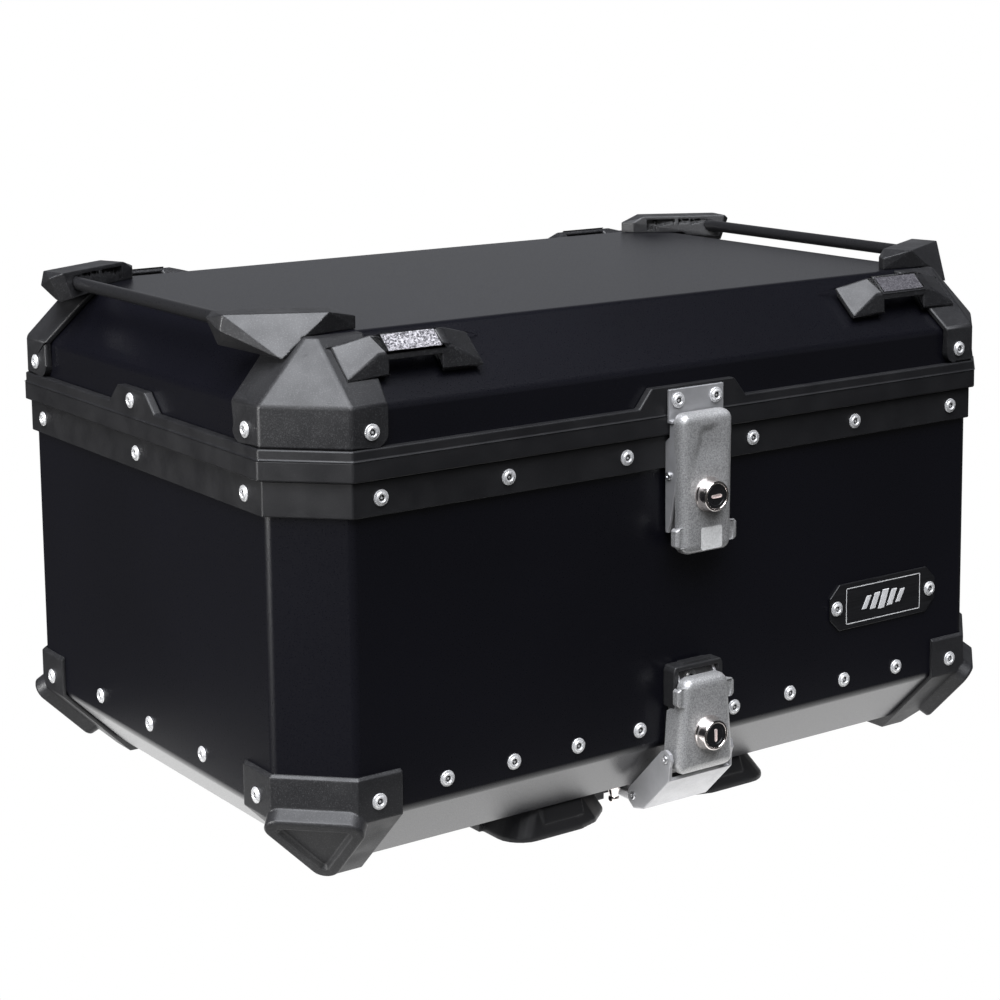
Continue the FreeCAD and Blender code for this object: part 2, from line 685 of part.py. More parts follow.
def strip():
    at = slope_frame(size.loop_centre)
    high = size.cover_proud + 0.2 + size.loop_rise
    return convex([at(a * 17.5, b, c) for a in (-1, 1) for b in (24.8, 37.2)
                   for c in (high - 0.8, high + 0.2)])


loop_shape = grab_loop()
strip_shape = strip()
for row in PAIRS:
    feature("grab_loops_" + row, pair(loop_shape, row))
strips = [mirrored(strip_shape, flip_x, flip_y) for flip_x, flip_y in CORNERS.values()]
feature("reflective_strips", Part.makeCompound(strips))


# ---------------------------------------------------------------- hinges


def hinge_leaf(centre, on_lid):
    """One leaf: a plate on the rim, and knuckles on the pin (middle one on the lid's leaf)."""
    axis_y = size.hinge_offset
    axis_z = size.hinge_level
    half = size.hinge_width / 2
    if on_lid:
        face = size.case_half_width + size.lid_rim_proud
        plate = [(face, axis_z + 5.5), (face + size.leaf, axis_z + 5.5),
                 (face + size.leaf, 276), (face, 276)]
        web = [(face, axis_z + 5.5), (face + size.leaf, axis_z + 14),
               (axis_y + size.knuckle_radius, axis_z), (axis_y - 2, axis_z)]
        spans = [(-13.8, 13.8)]
        hole = size.pin_radius + size.running_gap
    else:
        face = size.case_half_width + size.body_rim_proud
        plate = [(face, 206), (face + size.leaf, 206), (face + size.leaf, axis_z - 6),
                 (face, axis_z - 6)]
        web = [(face, axis_z - 12), (face + size.leaf, axis_z - 18),
               (axis_y + size.knuckle_radius, axis_z), (axis_y - 2, axis_z)]
        spans = [(-half, -14.1), (14.1, half)]
        hole = size.pin_radius
    pieces = [slab(plate, centre - half, centre + half)]
    for low, high in spans:
        middle = centre + (low + high) / 2
        pieces.append(slab(web, centre + low, centre + high))
        pieces.append(rod((middle, axis_y, axis_z), (1, 0, 0), size.knuckle_radius, high - low))
    leaf = fused(pieces)
    return leaf.cut(rod((centre, axis_y, axis_z), (1, 0, 0), hole, 2 * half + 2))


centres = (-size.hinge_spacing, size.hinge_spacing)
feature("hinge_leaves_body",
        drilled(Part.makeCompound([hinge_leaf(x, False) for x in centres]), body_leaf_places))
feature("hinge_leaves_lid",
        drilled(Part.makeCompound([hinge_leaf(x, True) for x in centres]), lid_leaf_places))
feature("hinge_pins", Part.makeCompound(
    [rod((x, size.hinge_offset, size.hinge_level), (1, 0, 0), size.pin_radius, size.hinge_width)
     for x in centres]))


# ---------------------------------------------------------------- latches


def latch_cover(low, high, half, tip_half, pivot, hook_end):
    """Cast latch cover: bevelled front, open back, bosses for the pivot, mouth for the ears.

    hook_end is +1 if the end that grips is the upper one, -1 if it is the lower one.
    """
    face = -size.latch_face
    wall = size.latch_wall
    back = face + 8.0
    shoulder = face + 5.0
    wide = [(s * half, shoulder) for s in (-1, 1)]
    flat = [(s * (half - 5), face) for s in (-1, 1)]
    grip = high if hook_end > 0 else low
    free = low if hook_end > 0 else high
    step = -hook_end
    outer = convex([(x, y, grip) for x, y in [(s * half, back) for s in (-1, 1)] + wide]
                   + [(x, face, grip + step * 5) for x, _ in flat]
                   + [(x * 0.98, face, free - step * 2) for x, _ in flat]
                   + [(s * tip_half, y, free) for s in (-1, 1) for y in (back, shoulder - 1)])
    inner = convex([(s * (half - wall), y, grip + step * 3) for s in (-1, 1)
                    for y in (back + 1, shoulder)]
                   + [(s * (half - 5.4), face + wall, grip + step * 6) for s in (-1, 1)]
                   + [(s * (half - 5.6), face + wall, free - step * 3) for s in (-1, 1)]
                   + [(s * (tip_half - wall), y, free - step * 1.8) for s in (-1, 1)
                      for y in (back + 1, shoulder)])
    cover = outer.cut(inner)
    pin_y, pin_z = pivot
    bosses = [slab([(back - 1, pin_z - 7), (back - 1, pin_z + 7), (pin_y + 4.5, pin_z + 3),
                    (pin_y + 4.5, pin_z - 3)], s * (half - wall), s * half) for s in (-1, 1)]
    cover = fused([cover] + bosses)
    return cover.cut(rod((0, pin_y, pin_z), (1, 0, 0), size.latch_pin + size.running_gap, 90))


def lock_barrel(level):
    """The chrome lock barrel: a flanged tube fixed in the cover's front wall."""
    face = size.barrel_face
    tail = -size.barrel_tail
    profile = [(size.plug_radius + size.running_gap, tail), (size.barrel_radius, tail),
               (size.barrel_radius, -face + 1), (size.barrel_radius - 1, -face),
               (size.plug_radius + size.running_gap, -face)]
    loop = [Vector(r, y, level) for r, y in profile]
    section = Part.Face(Part.makePolygon(loop + [loop[0]]))
    return section.revolve(Vector(0, 0, level), Vector(0, 1, 0), 360)


def key_plug(level, slot_upright):
    """The turning plug with its key slot."""
    face = -size.barrel_face + 0.8
    tail = -size.barrel_tail - 0.4
    plug = rod((0, (face + tail) / 2, level), (0, 1, 0), size.plug_radius, tail - face)
    half = (0.6, 3.6) if slot_upright else (3.6, 0.6)
    return plug.cut(block(-half[0], half[0], face - 1, face + 3, level - half[1], level + half[1]))


def lock_cam(level, direction):
    """The flat cam on the plug's inner end, behind the barrel, that blocks the release."""
    near = -size.barrel_tail + 0.4
    far = near + size.cam_sheet
    disc = rod((0, (near + far) / 2, level), (0, 1, 0), 5.0, size.cam_sheet)
    ends = sorted((level, level + direction * size.cam_reach))
    return disc.fuse(block(-2.5, 2.5, near, far, *ends)).removeSplitter()


def release_slide(half, low, high):
    """The release: a cross bar behind the cover's face with an ear at each side."""
    bar = block(-half - 2, half + 2, -202.8, -200.8, low, high)
    ears = [convex([(s * (half + 0.3), y, z) for y in (-204, -197) for z in (low, high)]
                   + [(s * (half + 3.4), y, z) for y in (-203, -198)
                      for z in (low + 1, high - 1)])
            for s in (-1, 1)]
    return fused([bar] + ears)


def ear_mouth(low, high):
    """The slots in the cover's side walls that the release ears travel in."""
    return block(-30, 30, -203.0, -196.8, low, high)


def latch_base(outline_yz, outer, plate_low, plate_high, plate_y, pivot):
    """A folded sheet channel: back plate on the case, two cheeks that hold the pivot pin."""
    cheeks = [slab(outline_yz, s * outer, s * (outer - size.cheek)) for s in (-1, 1)]
    plate = block(-outer, outer, plate_y - size.cheek, plate_y, plate_low, plate_high)
    channel = fused(cheeks + [plate])
    return channel.cut(rod((0, *pivot), (1, 0, 0), size.latch_pin, 90))


# top latch: rocks about a pin at mid height, its upper lip reaches over the strike's lip
top_pivot = (-size.top_pivot_depth, size.top_pivot_level)
wall_y = -size.case_half_width
base_outline = [(-192.2, 254.5), (-198.0, 254.5), (-198.6, 240), (-198.6, 222), (-192.8, 196),
                (-190.5, 189), (-188.3, 189), (-188.3, 244), (-192.2, 247.2)]
top_base = latch_base(base_outline, size.cheek_outer, 189, 244, wall_y - size.body_rim_proud,
                      top_pivot)
top_base = top_base.cut(block(-9.5, 9.5, -191, -188, 219.5, 228.5))
feature("top_latch_base", drilled(top_base, top_rim_mounts + top_wall_mounts))
pin("top_latch_pin", "Sizes.latch_pin", "2 * Sizes.latch_half_width + 2",
    ("0", "-Sizes.top_pivot_depth", "Sizes.top_pivot_level"))


def torsion_spring(pivot, half_length):
    """A close-wound spring around the pivot pin, drawn as its coil pack."""
    radius = size.latch_pin + 0.8
    wire_radius = 0.6
    coil = Part.makeHelix(1.5, 2 * half_length, radius)
    wire = Part.Wire(Part.makeCircle(wire_radius, Vector(radius, 0, 0), Vector(0, 1, 0)))
    spring = Part.Wire(coil.Edges).makePipeShell([wire], True, True)
    spring.Placement = Placement(Vector(-half_length, *pivot), Rotation(Vector(0, 1, 0), 90))
    return spring


rest_low = 182.0
rest_high = 194.0
top_cover = latch_cover(size.top_latch_low, size.top_latch_high, size.latch_half_width, 18.5,
                        top_pivot, 1)
lip = block(-18, 18, -200, -196.3, size.top_latch_high - 3, size.top_latch_high)
recess = convex([(x, y, z) for y in (-210, -204.2)
                 for x, z in ((-4.5, 254), (4.5, 254), (10.5, 232), (-10.5, 232))])
top_cover = fused([top_cover, lip]).cut(recess)
top_cover = top_cover.cut(ear_mouth(rest_low - size.release_travel - 0.2, rest_high + 0.2))
top_cover = top_cover.cut(rod((0, -204, size.top_lock_level), (0, 1, 0), size.barrel_radius, 16))
feature("top_latch_cover", top_cover)
feature("top_lock_barrel", lock_barrel(size.top_lock_level))
feature("top_key_plug", key_plug(size.top_lock_level, False))
feature("top_lock_cam", lock_cam(size.top_lock_level, -1))
feature("top_release", release_slide(size.latch_half_width, rest_low, rest_high))

strike = body("strike_plate")
strike_outer = -size.case_half_width - size.lid_rim_proud - size.strike_sheet
strike_profile = [(-strike_outer - 2, 255.5), (-strike_outer + 2.4, 255.5),
                  (-strike_outer + 2.4, 257.5), (-strike_outer, 257.5), (-strike_outer, 275.7),
                  (-strike_outer - 2, 275.7)]
pad(strike, outline(strike, "YZ_Plane", [(-y, z) for y, z in strike_profile]),
    "2 * Sizes.strike_half_width", both_ways=True)
for side in ("-14.35", "14.35"):
    hole = circle(strike, "XZ_Plane", "Sizes.rivet_hole", (side, "269", "180"))
    pocket(strike, hole, "60", both_ways=True)
# bottom latch: swings about the same pin as the hook link
low_pivot = (-size.low_pivot_depth, size.low_pivot_level)
low_outline = [(wall_y, 104), (-192, 104), (-196.4, 97), (-196.4, 72), (-198.2, 66),
               (-198.2, 56), (-199.5, 51.7), (-197, 47.2), (-192, 47.2), (wall_y, 58.5)]
low_base = latch_base(low_outline, size.low_cheek_outer, 60, 104, wall_y, low_pivot)
feature("bottom_latch_base", drilled(low_base, low_high_mounts + low_low_mounts))
# black housing that straddles the upper end of the bottom latch's base
housing = convex([(s * x, y, z) for s in (-1, 1) for y in (wall_y, -196)
                  for x, z in ((19.0, 82.0), (19.0, 104.5), (17.5, 107.5))])
housing = housing.cut(block(-15.05, 15.05, -200, -180, 70, 104.05))
feature("bottom_latch_block", housing)
pin("bottom_latch_pin", "Sizes.latch_pin", "2 * (Sizes.link_gap + Sizes.link_sheet) + 2",
    ("0", "-Sizes.low_pivot_depth", "Sizes.low_pivot_level"))
feature("latch_springs",
        Part.makeCompound([torsion_spring(pivot, 8.0) for pivot in (top_pivot, low_pivot)]))

ear_low = 85.0
ear_high = 96.0
low_cover = latch_cover(size.low_latch_low, size.low_latch_high, size.low_latch_half, 14.5,
                        low_pivot, -1)
low_cover = low_cover.cut(ear_mouth(ear_low - 0.2, ear_high + size.low_release_travel + 0.2))
low_cover = low_cover.cut(rod((0, -204, size.low_lock_level), (0, 1, 0), size.barrel_radius, 16))
feature("bottom_latch_cover", low_cover)
feature("bottom_lock_barrel", lock_barrel(size.low_lock_level))
feature("bottom_key_plug", key_plug(size.low_lock_level, True))
feature("bottom_lock_cam", lock_cam(size.low_lock_level, 1))
feature("bottom_release", release_slide(size.low_latch_half, ear_low, ear_high))


def link_point(along, off):
    """A point of the link: along the slope from its pivot, off it outwards."""
    y, z = low_pivot
    return (y + (along - off) * math.sqrt(0.5), z - (along + off) * math.sqrt(0.5))


def hook_link():
    """The U-shaped link: two arms outside the cover, joined by a web on the outer side."""
    eye = size.link_eye
    gap = size.link_gap
    outer = gap + size.link_sheet
    length = size.link_length
    arm = [link_point(-eye, 0), link_point(-eye * 0.7, eye * 0.7), link_point(0, eye),
           link_point(6.5, 11.6), link_point(length - 4, 11.6), link_point(length + 5, 6),
           link_point(length + eye, 0), link_point(length + eye * 0.6, -eye * 0.7),
           link_point(length, -eye), link_point(0, -eye), link_point(-eye * 0.7, -eye * 0.7)]
    web = [link_point(6.5, 9.3), link_point(6.5, 11.6), link_point(length - 4, 11.6),
           link_point(length + 2, 8), link_point(length + 1, 6.5), link_point(length - 5, 9.3)]
    pieces = [slab(arm, s * gap, s * outer) for s in (-1, 1)] + [slab(web, -gap, gap)]
    link = fused(pieces)
    link = link.cut(rod((0, *low_pivot), (1, 0, 0), size.latch_pin + size.running_gap, 90))
    return link.cut(rod((0, *link_point(length, 0)), (1, 0, 0), size.latch_pin, 90))


claw_pivot = link_point(size.link_length, 0)


def claw():
    """The claw on the link's lower pin: passes under the plate's catch bar and turns up."""
    bar_low = size.catch_level - size.catch_radius
    behind = -size.catch_depth + size.catch_radius
    y, z = claw_pivot
    outline_yz = [(y - 5, z + 3), (y - 4, z - 4), (-152, 5.2), (behind + 6, 5.2),
                  (behind + 6, bar_low + 2.2), (behind + 1.4, bar_low + 2.2),
                  (behind + 1.4, bar_low - 0.6), (-126, bar_low - 0.6), (-146, bar_low + 1),
                  (y + 5, z + 3), (y, z + 5.5)]
    piece = slab(outline_yz, -7, 7)
    return piece.cut(rod((0, y, z), (1, 0, 0), size.latch_pin, 90))


feature("hook_link", hook_link())
feature("hook_claw", claw())
feature("hook_pin", rod((0, *claw_pivot), (1, 0, 0), size.latch_pin,
                        2 * (size.link_gap + size.link_sheet) + 1.6))


# ---------------------------------------------------------------- base plate for the rack


def skirt_outline(inset):
    """The plan of the plate's square part, with the two rear corners cut."""
    x = size.plate_half_length - inset
    y = size.plate_half_width - inset
    cut = 18.0
    return [(-x, -size.catch_depth + 4 + inset), (x, -size.catch_depth + 4 + inset),
            (x, y - cut), (x - cut, y), (-x + cut, y), (-x, y - cut)]


def upright(outline_xy, low, high):
    """A flat piece between two levels; the outline is in X and Y."""
    loop = [Vector(x, y, low) for x, y in outline_xy]
    return Part.Face(Part.makePolygon(loop + [loop[0]])).extrude(Vector(0, 0, high - low))


def lobe(inset, low, high):
    """One front lobe on the +X side: round outer corner, slanted inner end, walls with draft."""
    front = -size.lobe_front + inset
    side = size.lobe_half - inset
    slot = size.slot_half + inset
    radius = size.lobe_round - inset
    back = -size.catch_depth + 12
    centre = (side - radius, front + radius)
    turns = [math.radians(angle) for angle in range(-90, 1, 15)]
    arc = [(centre[0] + radius * math.cos(t), centre[1] + radius * math.sin(t)) for t in turns]
    foot = arc + [(side, back), (slot, back), (slot, front + 17), (slot + 15, front + 4.5),
                  (slot + 29, front)]
    draft = size.lobe_draft
    crest = [(x - draft * (1.6 if x > 60 else -1.2), y + draft if y < back else y)
             for x, y in foot]
    return convex([(x, y, z) for x, y in foot for z in (low, low + 2.5)]
                  + [(x, y, high) for x, y in crest])


def front_tab():
    """The raised rectangular tab on a lobe's front wall."""
    front = -size.lobe_front
    return convex([(x, front + 8, z) for x in (47, 80) for z in (7.5, 18.5)]
                  + [(x, front - 1.0 + 0.4 * (z - 2.5), z) for x in (48.5, 78.5)
                     for z in (8.5, 17.5)])


def base_plate():
    """A ribbed plate with a skirt, front lobes, four bolt bosses and windows for rear hooks."""
    high = size.plate_height
    wall = 4.0
    roof = high - wall
    tabs = [mirrored(front_tab(), flip_x) for flip_x in (False, True)]
    lobes = [mirrored(lobe(0.0, 0.0, high), flip_x) for flip_x in (False, True)]
    outer = fused([upright(skirt_outline(0.0), 0.0, high)] + lobes + tabs)
    inner = [upright(skirt_outline(wall), -1, roof)]
    inner += [mirrored(lobe(wall, -1.0, roof), flip_x) for flip_x in (False, True)]
    reach = size.plate_half_length - wall / 2
    ribs = [block(-reach, reach, y - 1.5, y + 1.5, 2, high - 2) for y in (-108, -54, 0, 54)]
    ribs += [block(x - 1.5, x + 1.5, -size.catch_depth + 6, size.plate_half_width - 2, 2, high - 2)
             for x in (-50, 50)]
    bosses = [rod((sx * size.bolt_x / 2, sy * size.bolt_y / 2, high / 2), (0, 0, 1), 10, high)
              for sx in (-1, 1) for sy in (-1, 1)]
    plate = fused([outer.cut(fused(inner))] + ribs + bosses)
    holes = [rod((sx * size.bolt_x / 2, sy * size.bolt_y / 2, 0), (0, 0, 1), size.bolt_hole / 2, 90)
             for sx in (-1, 1) for sy in (-1, 1)]
    windows = [block(s * 60 - 11, s * 60 + 11, size.plate_half_width - 20,
                     size.plate_half_width + 2, 4, 13) for s in (-1, 1)]
    claw_slot = block(-9.5, 9.5, -130, -96, -1, high + 1)
    return plate.cut(holes + windows + [claw_slot])


def stud_tab():
    """The short tab at the plate's upper level that the locking stud hangs from."""
    return block(-size.slot_half - 3, -9.5, -138, -size.catch_depth + 8, 16, size.plate_height)


plate = base_plate().fuse(stud_tab())
catch_line = rod((0, -size.catch_depth, size.catch_level), (1, 0, 0), size.catch_radius, 62)
holders = [block(low, high, -124, -108, 8, 20) for low, high in ((-31, -9.5), (9.5, 31))]
feature("base_plate", plate.fuse(holders).cut(catch_line).removeSplitter())
feature("catch_bar", catch_line)
stud_x, stud_y = -16.0, -132.5
stud = fused([Part.makeCylinder(4.8, 1.6, Vector(stud_x, stud_y, 14.4)),
              Part.makeCone(2.8, 4.2, 5.2, Vector(stud_x, stud_y, 9.2)),
              Part.makeCylinder(3.4, 3.6, Vector(stud_x, stud_y, 5.6))])
feature("catch_stud", stud)

pads = []
for sx in (-1, 1):
    for sy in (-1, 1):
        pads.append(Part.makeCylinder(11, size.floor_level - size.plate_height,
                                      Vector(sx * 88, sy * 86, size.plate_height)))
feature("plate_pads", Part.makeCompound(pads))


def rear_hook(x):
    """A hook under the floor whose tongue enters the plate's rear window."""
    behind = size.plate_half_width + 0.8
    foot = block(x - 14, x + 14, behind, behind + 22, size.floor_level - 3, size.floor_level)
    leg = block(x - 9, x + 9, behind, behind + 4, 5.5, size.floor_level - 3)
    tongue = block(x - 9, x + 9, behind - 12, behind + 4, 5.5, 9.5)
    return fused([foot, leg, tongue])


feature("rear_hooks", Part.makeCompound([rear_hook(-60), rear_hook(60)]))


# ---------------------------------------------------------------- folding stays inside


def stay(anchor, knee, plane):
    """One strap of a stay in a plane of constant X, with an eye at its anchor."""
    start = Vector(0, *anchor)
    end = Vector(0, *knee)
    along = (end - start).normalize()
    across = Vector(0, -along.z, along.y) * (size.stay_width / 2)
    corners = [start + across, end + across, end - across, start - across]
    loop = [(c.y, c.z) for c in corners]
    strap = slab(loop, plane, plane + size.stay_sheet)
    middle = plane + size.stay_sheet / 2
    rounds = [rod((middle, c.y, c.z), (1, 0, 0), size.stay_width / 2, size.stay_sheet)
              for c in (start, end)]
    strap = fused([strap] + rounds)
    hole = rod((middle, *anchor), (1, 0, 0), size.stay_pin + size.running_gap, 6)
    return strap.cut(hole)


low_anchor = (size.stay_anchor_y, size.stay_low_level)
high_anchor = (size.stay_anchor_y, size.stay_high_level)
rise = (size.stay_high_level - size.stay_low_level) / 2
knee = (size.stay_anchor_y - math.sqrt(size.stay_half ** 2 - rise ** 2),
        size.stay_low_level + rise)
inside = size.case_half_length - size.skin
for name, side in (("left", -1), ("right", 1)):
    low_plane = size.stay_plane - size.stay_sheet
    high_plane = low_plane - 0.6 - size.stay_sheet
    lower = stay(low_anchor, knee, low_plane)
    upper = stay(high_anchor, knee, high_plane)
    feature("stay_lower_" + name, mirrored(lower, flip_x=side < 0))
    feature("stay_upper_" + name, mirrored(upper, flip_x=side < 0))


def stay_pins(anchor, plane):
    """Headed pins on both side walls that a stay's eye turns on."""
    pins = []
    for side in (-1, 1):
        collar = rod(((inside + plane + size.stay_sheet) / 2 + 0.1, *anchor), (1, 0, 0), 6.0,
                     inside - plane - size.stay_sheet - 0.2)
        shank = rod(((inside + plane - 1) / 2, *anchor), (1, 0, 0), size.stay_pin,
                    inside - plane + 1)
        head = rod((plane - 1.2, *anchor), (1, 0, 0), 5.0, 2.0)
        pins.append(mirrored(fused([collar, shank, head]), flip_x=side < 0))
    return Part.makeCompound(pins)


feature("stay_pins_body", stay_pins(low_anchor, size.stay_plane - size.stay_sheet))
feature("stay_pins_lid", stay_pins(high_anchor, size.stay_plane - 0.6 - 2 * size.stay_sheet))


# ---------------------------------------------------------------- rivets and spacers

spaced = body_leaf_places + top_wall_mounts
spacers = []
for point, normal in spaced:
    middle_y = math.copysign(size.case_half_width + size.body_rim_proud / 2, point[1])
    tube = rod((point[0], middle_y, point[2]), (0, 1, 0), 6.0, size.body_rim_proud)
    spacers.append(drilled(tube, spaced))
feature("rivet_spacers", Part.makeCompound(spacers))

rim_stack = size.body_rim_proud + size.skin + size.rim_leg
BODY_RIVETS = [
    (rim_places, rim_stack), (low_places, 2 * size.skin),
    (cap_places, size.cap_proud + 2 * size.skin), (badge_places, size.badge_sheet + size.skin),
    (body_leaf_places, size.leaf + size.body_rim_proud + size.skin),
    (top_rim_mounts, size.cheek + rim_stack),
    (top_wall_mounts, size.cheek + size.body_rim_proud + size.skin),
    (low_high_mounts, size.cheek + size.skin), (low_low_mounts, size.cheek + 2 * size.skin),
]
lid_stack = size.lid_rim_proud + size.skin
LID_RIVETS = [
    (cover_places, size.cover_proud + size.skin), (tab_places, size.lid_rim_upper + size.skin),
    (strike_places, size.strike_sheet + lid_stack), (lid_leaf_places, size.leaf + lid_stack),
]
for label, groups in (("body_rivets", BODY_RIVETS), ("lid_rivets", LID_RIVETS)):
    feature(label, Part.makeCompound([rivet(point, normal, stack) for places, stack in groups
                                      for point, normal in places]))


# ---------------------------------------------------------------- check and export

doc.recompute()
for item in doc.Objects:
    if "Invalid" in item.State or "Error" in item.State:
        raise RuntimeError(f"{item.Name} did not compute: {item.State}")
labels = [item.Label for item in parts]
if len(labels) != len(set(labels)):
    raise RuntimeError("two sub-parts share a label")
for item in parts:
    shape = item.Shape
    if shape.isNull() or not shape.isValid() or not shape.Solids:
        raise RuntimeError(f"{item.Label} has no valid solid")
for item in parts:
    item.Shape.exportStep(f"parts/{item.Label}.step")
print(len(parts), "sub-parts written")
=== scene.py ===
"""Looks of the top case: rounded edges, rivets, locks and materials over the fixed CAD frame.

Metres, in the row frame: +Z up, latches at -Y, hinges at +Y.
"""
import json
import math

import bmesh
import bpy
from mathutils import Matrix, Vector


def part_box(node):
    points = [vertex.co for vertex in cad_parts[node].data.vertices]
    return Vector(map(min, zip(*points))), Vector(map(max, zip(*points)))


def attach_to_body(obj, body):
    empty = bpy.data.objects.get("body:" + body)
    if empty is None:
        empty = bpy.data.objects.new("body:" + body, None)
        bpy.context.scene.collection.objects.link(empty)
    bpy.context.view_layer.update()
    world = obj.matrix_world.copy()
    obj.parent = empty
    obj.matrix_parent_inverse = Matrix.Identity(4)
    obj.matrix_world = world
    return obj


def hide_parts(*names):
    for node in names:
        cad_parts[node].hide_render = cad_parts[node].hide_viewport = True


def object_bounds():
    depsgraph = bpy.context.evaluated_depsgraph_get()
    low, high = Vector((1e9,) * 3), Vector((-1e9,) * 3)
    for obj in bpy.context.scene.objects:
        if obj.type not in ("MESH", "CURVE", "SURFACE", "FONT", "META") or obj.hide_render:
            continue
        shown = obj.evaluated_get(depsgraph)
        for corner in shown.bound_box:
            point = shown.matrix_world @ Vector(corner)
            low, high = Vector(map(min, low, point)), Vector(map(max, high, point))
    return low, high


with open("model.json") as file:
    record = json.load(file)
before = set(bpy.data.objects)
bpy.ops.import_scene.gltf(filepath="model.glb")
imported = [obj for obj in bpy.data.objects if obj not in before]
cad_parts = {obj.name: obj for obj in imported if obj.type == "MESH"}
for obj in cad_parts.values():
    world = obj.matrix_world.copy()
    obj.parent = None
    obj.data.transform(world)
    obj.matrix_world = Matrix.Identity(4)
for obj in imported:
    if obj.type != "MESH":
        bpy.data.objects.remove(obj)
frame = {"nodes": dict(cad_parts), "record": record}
cad_low, cad_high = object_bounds()
record = frame["record"]
BODY = {node: body for body, nodes in record["behaviour"]["bodies"].items() for node in nodes}
SLOT = {part["node"]: part["material_slot"] for part in record["subparts"]}
MM = 0.001
scene = bpy.context.scene
scene.view_settings.view_transform = "Standard"
scene.view_settings.look = "None"


# ---------------------------------------------------------------- node materials


class Shader:
    """A material with one Principled node and short calls for the textures that feed it."""

    def __init__(self, name, colour, rough, metal=0.0, specular=0.5):
        self.material = bpy.data.materials.new(name)
        self.material.use_nodes = True
        self.tree = self.material.node_tree
        self.surface = self.tree.nodes["Principled BSDF"]
        self.surface.inputs["Base Color"].default_value = (*colour, 1.0)
        self.surface.inputs["Roughness"].default_value = rough
        self.surface.inputs["Metallic"].default_value = metal
        self.surface.inputs["Specular IOR Level"].default_value = specular
        self.place = self.tree.nodes.new("ShaderNodeTexCoord").outputs["Object"]
        self.normal = None

    def link(self, source, target):
        self.tree.links.new(source, target)

    def stretched(self, scale):
        """Object coordinates scaled separately along each axis."""
        node = self.tree.nodes.new("ShaderNodeMapping")
        node.inputs["Scale"].default_value = scale
        self.link(self.place, node.inputs["Vector"])
        return node.outputs["Vector"]

    def noise(self, scale, detail=2.0, place=None):
        node = self.tree.nodes.new("ShaderNodeTexNoise")
        node.inputs["Scale"].default_value = scale
        node.inputs["Detail"].default_value = detail
        self.link(place or self.place, node.inputs["Vector"])
        return node.outputs["Fac"]

    def cells(self, scale, output="Distance"):
        node = self.tree.nodes.new("ShaderNodeTexVoronoi")
        node.inputs["Scale"].default_value = scale
        self.link(self.place, node.inputs["Vector"])
        return node.outputs[output]

    def spread(self, value, low, high, to_low, to_high):
        """Maps a value's range to another range, held at its ends."""
        node = self.tree.nodes.new("ShaderNodeMapRange")
        self.link(value, node.inputs["Value"])
        for key, number in (("From Min", low), ("From Max", high), ("To Min", to_low),
                            ("To Max", to_high)):
            node.inputs[key].default_value = number
        return node.outputs["Result"]

    def tint(self, value, first, second):
        """Colours the surface with a blend of two colours by a value."""
        node = self.tree.nodes.new("ShaderNodeMix")
        node.data_type = "RGBA"
        node.inputs["A"].default_value = (*first, 1.0)
        node.inputs["B"].default_value = (*second, 1.0)
        self.link(value, node.inputs["Factor"])
        self.link(node.outputs["Result"], self.surface.inputs["Base Color"])
        return node.outputs["Result"]

    def rough(self, value, low, high):
        self.link(self.spread(value, 0.3, 0.7, low, high), self.surface.inputs["Roughness"])

    def bump(self, value, depth, strength=1.0):
        node = self.tree.nodes.new("ShaderNodeBump")
        node.inputs["Distance"].default_value = depth
        node.inputs["Strength"].default_value = strength
        self.link(value, node.inputs["Height"])
        if self.normal is not None:
            self.link(self.normal, node.inputs["Normal"])
        self.normal = node.outputs["Normal"]
        self.link(self.normal, self.surface.inputs["Normal"])


def powder_coat():
    """Black powder coat on sheet metal: a faint blue cast and a fine orange-peel skin."""
    s = Shader("powder_coat", (0.003, 0.003, 0.005), 0.3)
    s.tint(s.spread(s.noise(6.0), 0.3, 0.7, 0, 1), (0.0018, 0.0018, 0.0034),
           (0.0028, 0.0028, 0.0050))
    s.rough(s.noise(1500.0, 3.0), 0.26, 0.36)
    s.bump(s.noise(420.0, 2.0), 0.00005, 0.25)
    s.bump(s.noise(2200.0, 3.0), 0.00004, 0.35)
    return s.material


def moulded(name, colour, light, rough=0.5, specular=0.5):
    """Grained black plastic with small pale specks and slightly uneven gloss."""
    s = Shader(name, colour, rough, specular=specular)
    fine = s.noise(1300.0, 4.0)
    s.tint(s.spread(fine, 0.52, 0.78, 0, 1), colour, light)
    s.rough(s.noise(60.0, 3.0), rough - 0.06, rough + 0.07)
    s.bump(fine, 0.00009, 0.55)
    return s.material


def shaded_below(material):
    """Takes most of the gloss off the faces that look down."""
    tree = material.node_tree
    split = tree.nodes.new("ShaderNodeSeparateXYZ")
    tree.links.new(tree.nodes.new("ShaderNodeNewGeometry").outputs["Normal"], split.inputs[0])
    gloss = tree.nodes.new("ShaderNodeMapRange")
    tree.links.new(split.outputs["Z"], gloss.inputs["Value"])
    for key, number in (("From Min", -0.55), ("From Max", -0.1), ("To Min", 0.12), ("To Max", 0.5)):
        gloss.inputs[key].default_value = number
    surface = tree.nodes["Principled BSDF"]
    tree.links.new(gloss.outputs["Result"], surface.inputs["Specular IOR Level"])
    return material


def satin_paint(name, colour, rough=0.34):
    s = Shader(name, colour, rough)
    s.rough(s.noise(900.0, 3.0), rough - 0.04, rough + 0.08)
    s.bump(s.noise(1600.0, 2.0), 0.00004, 0.3)
    return s.material


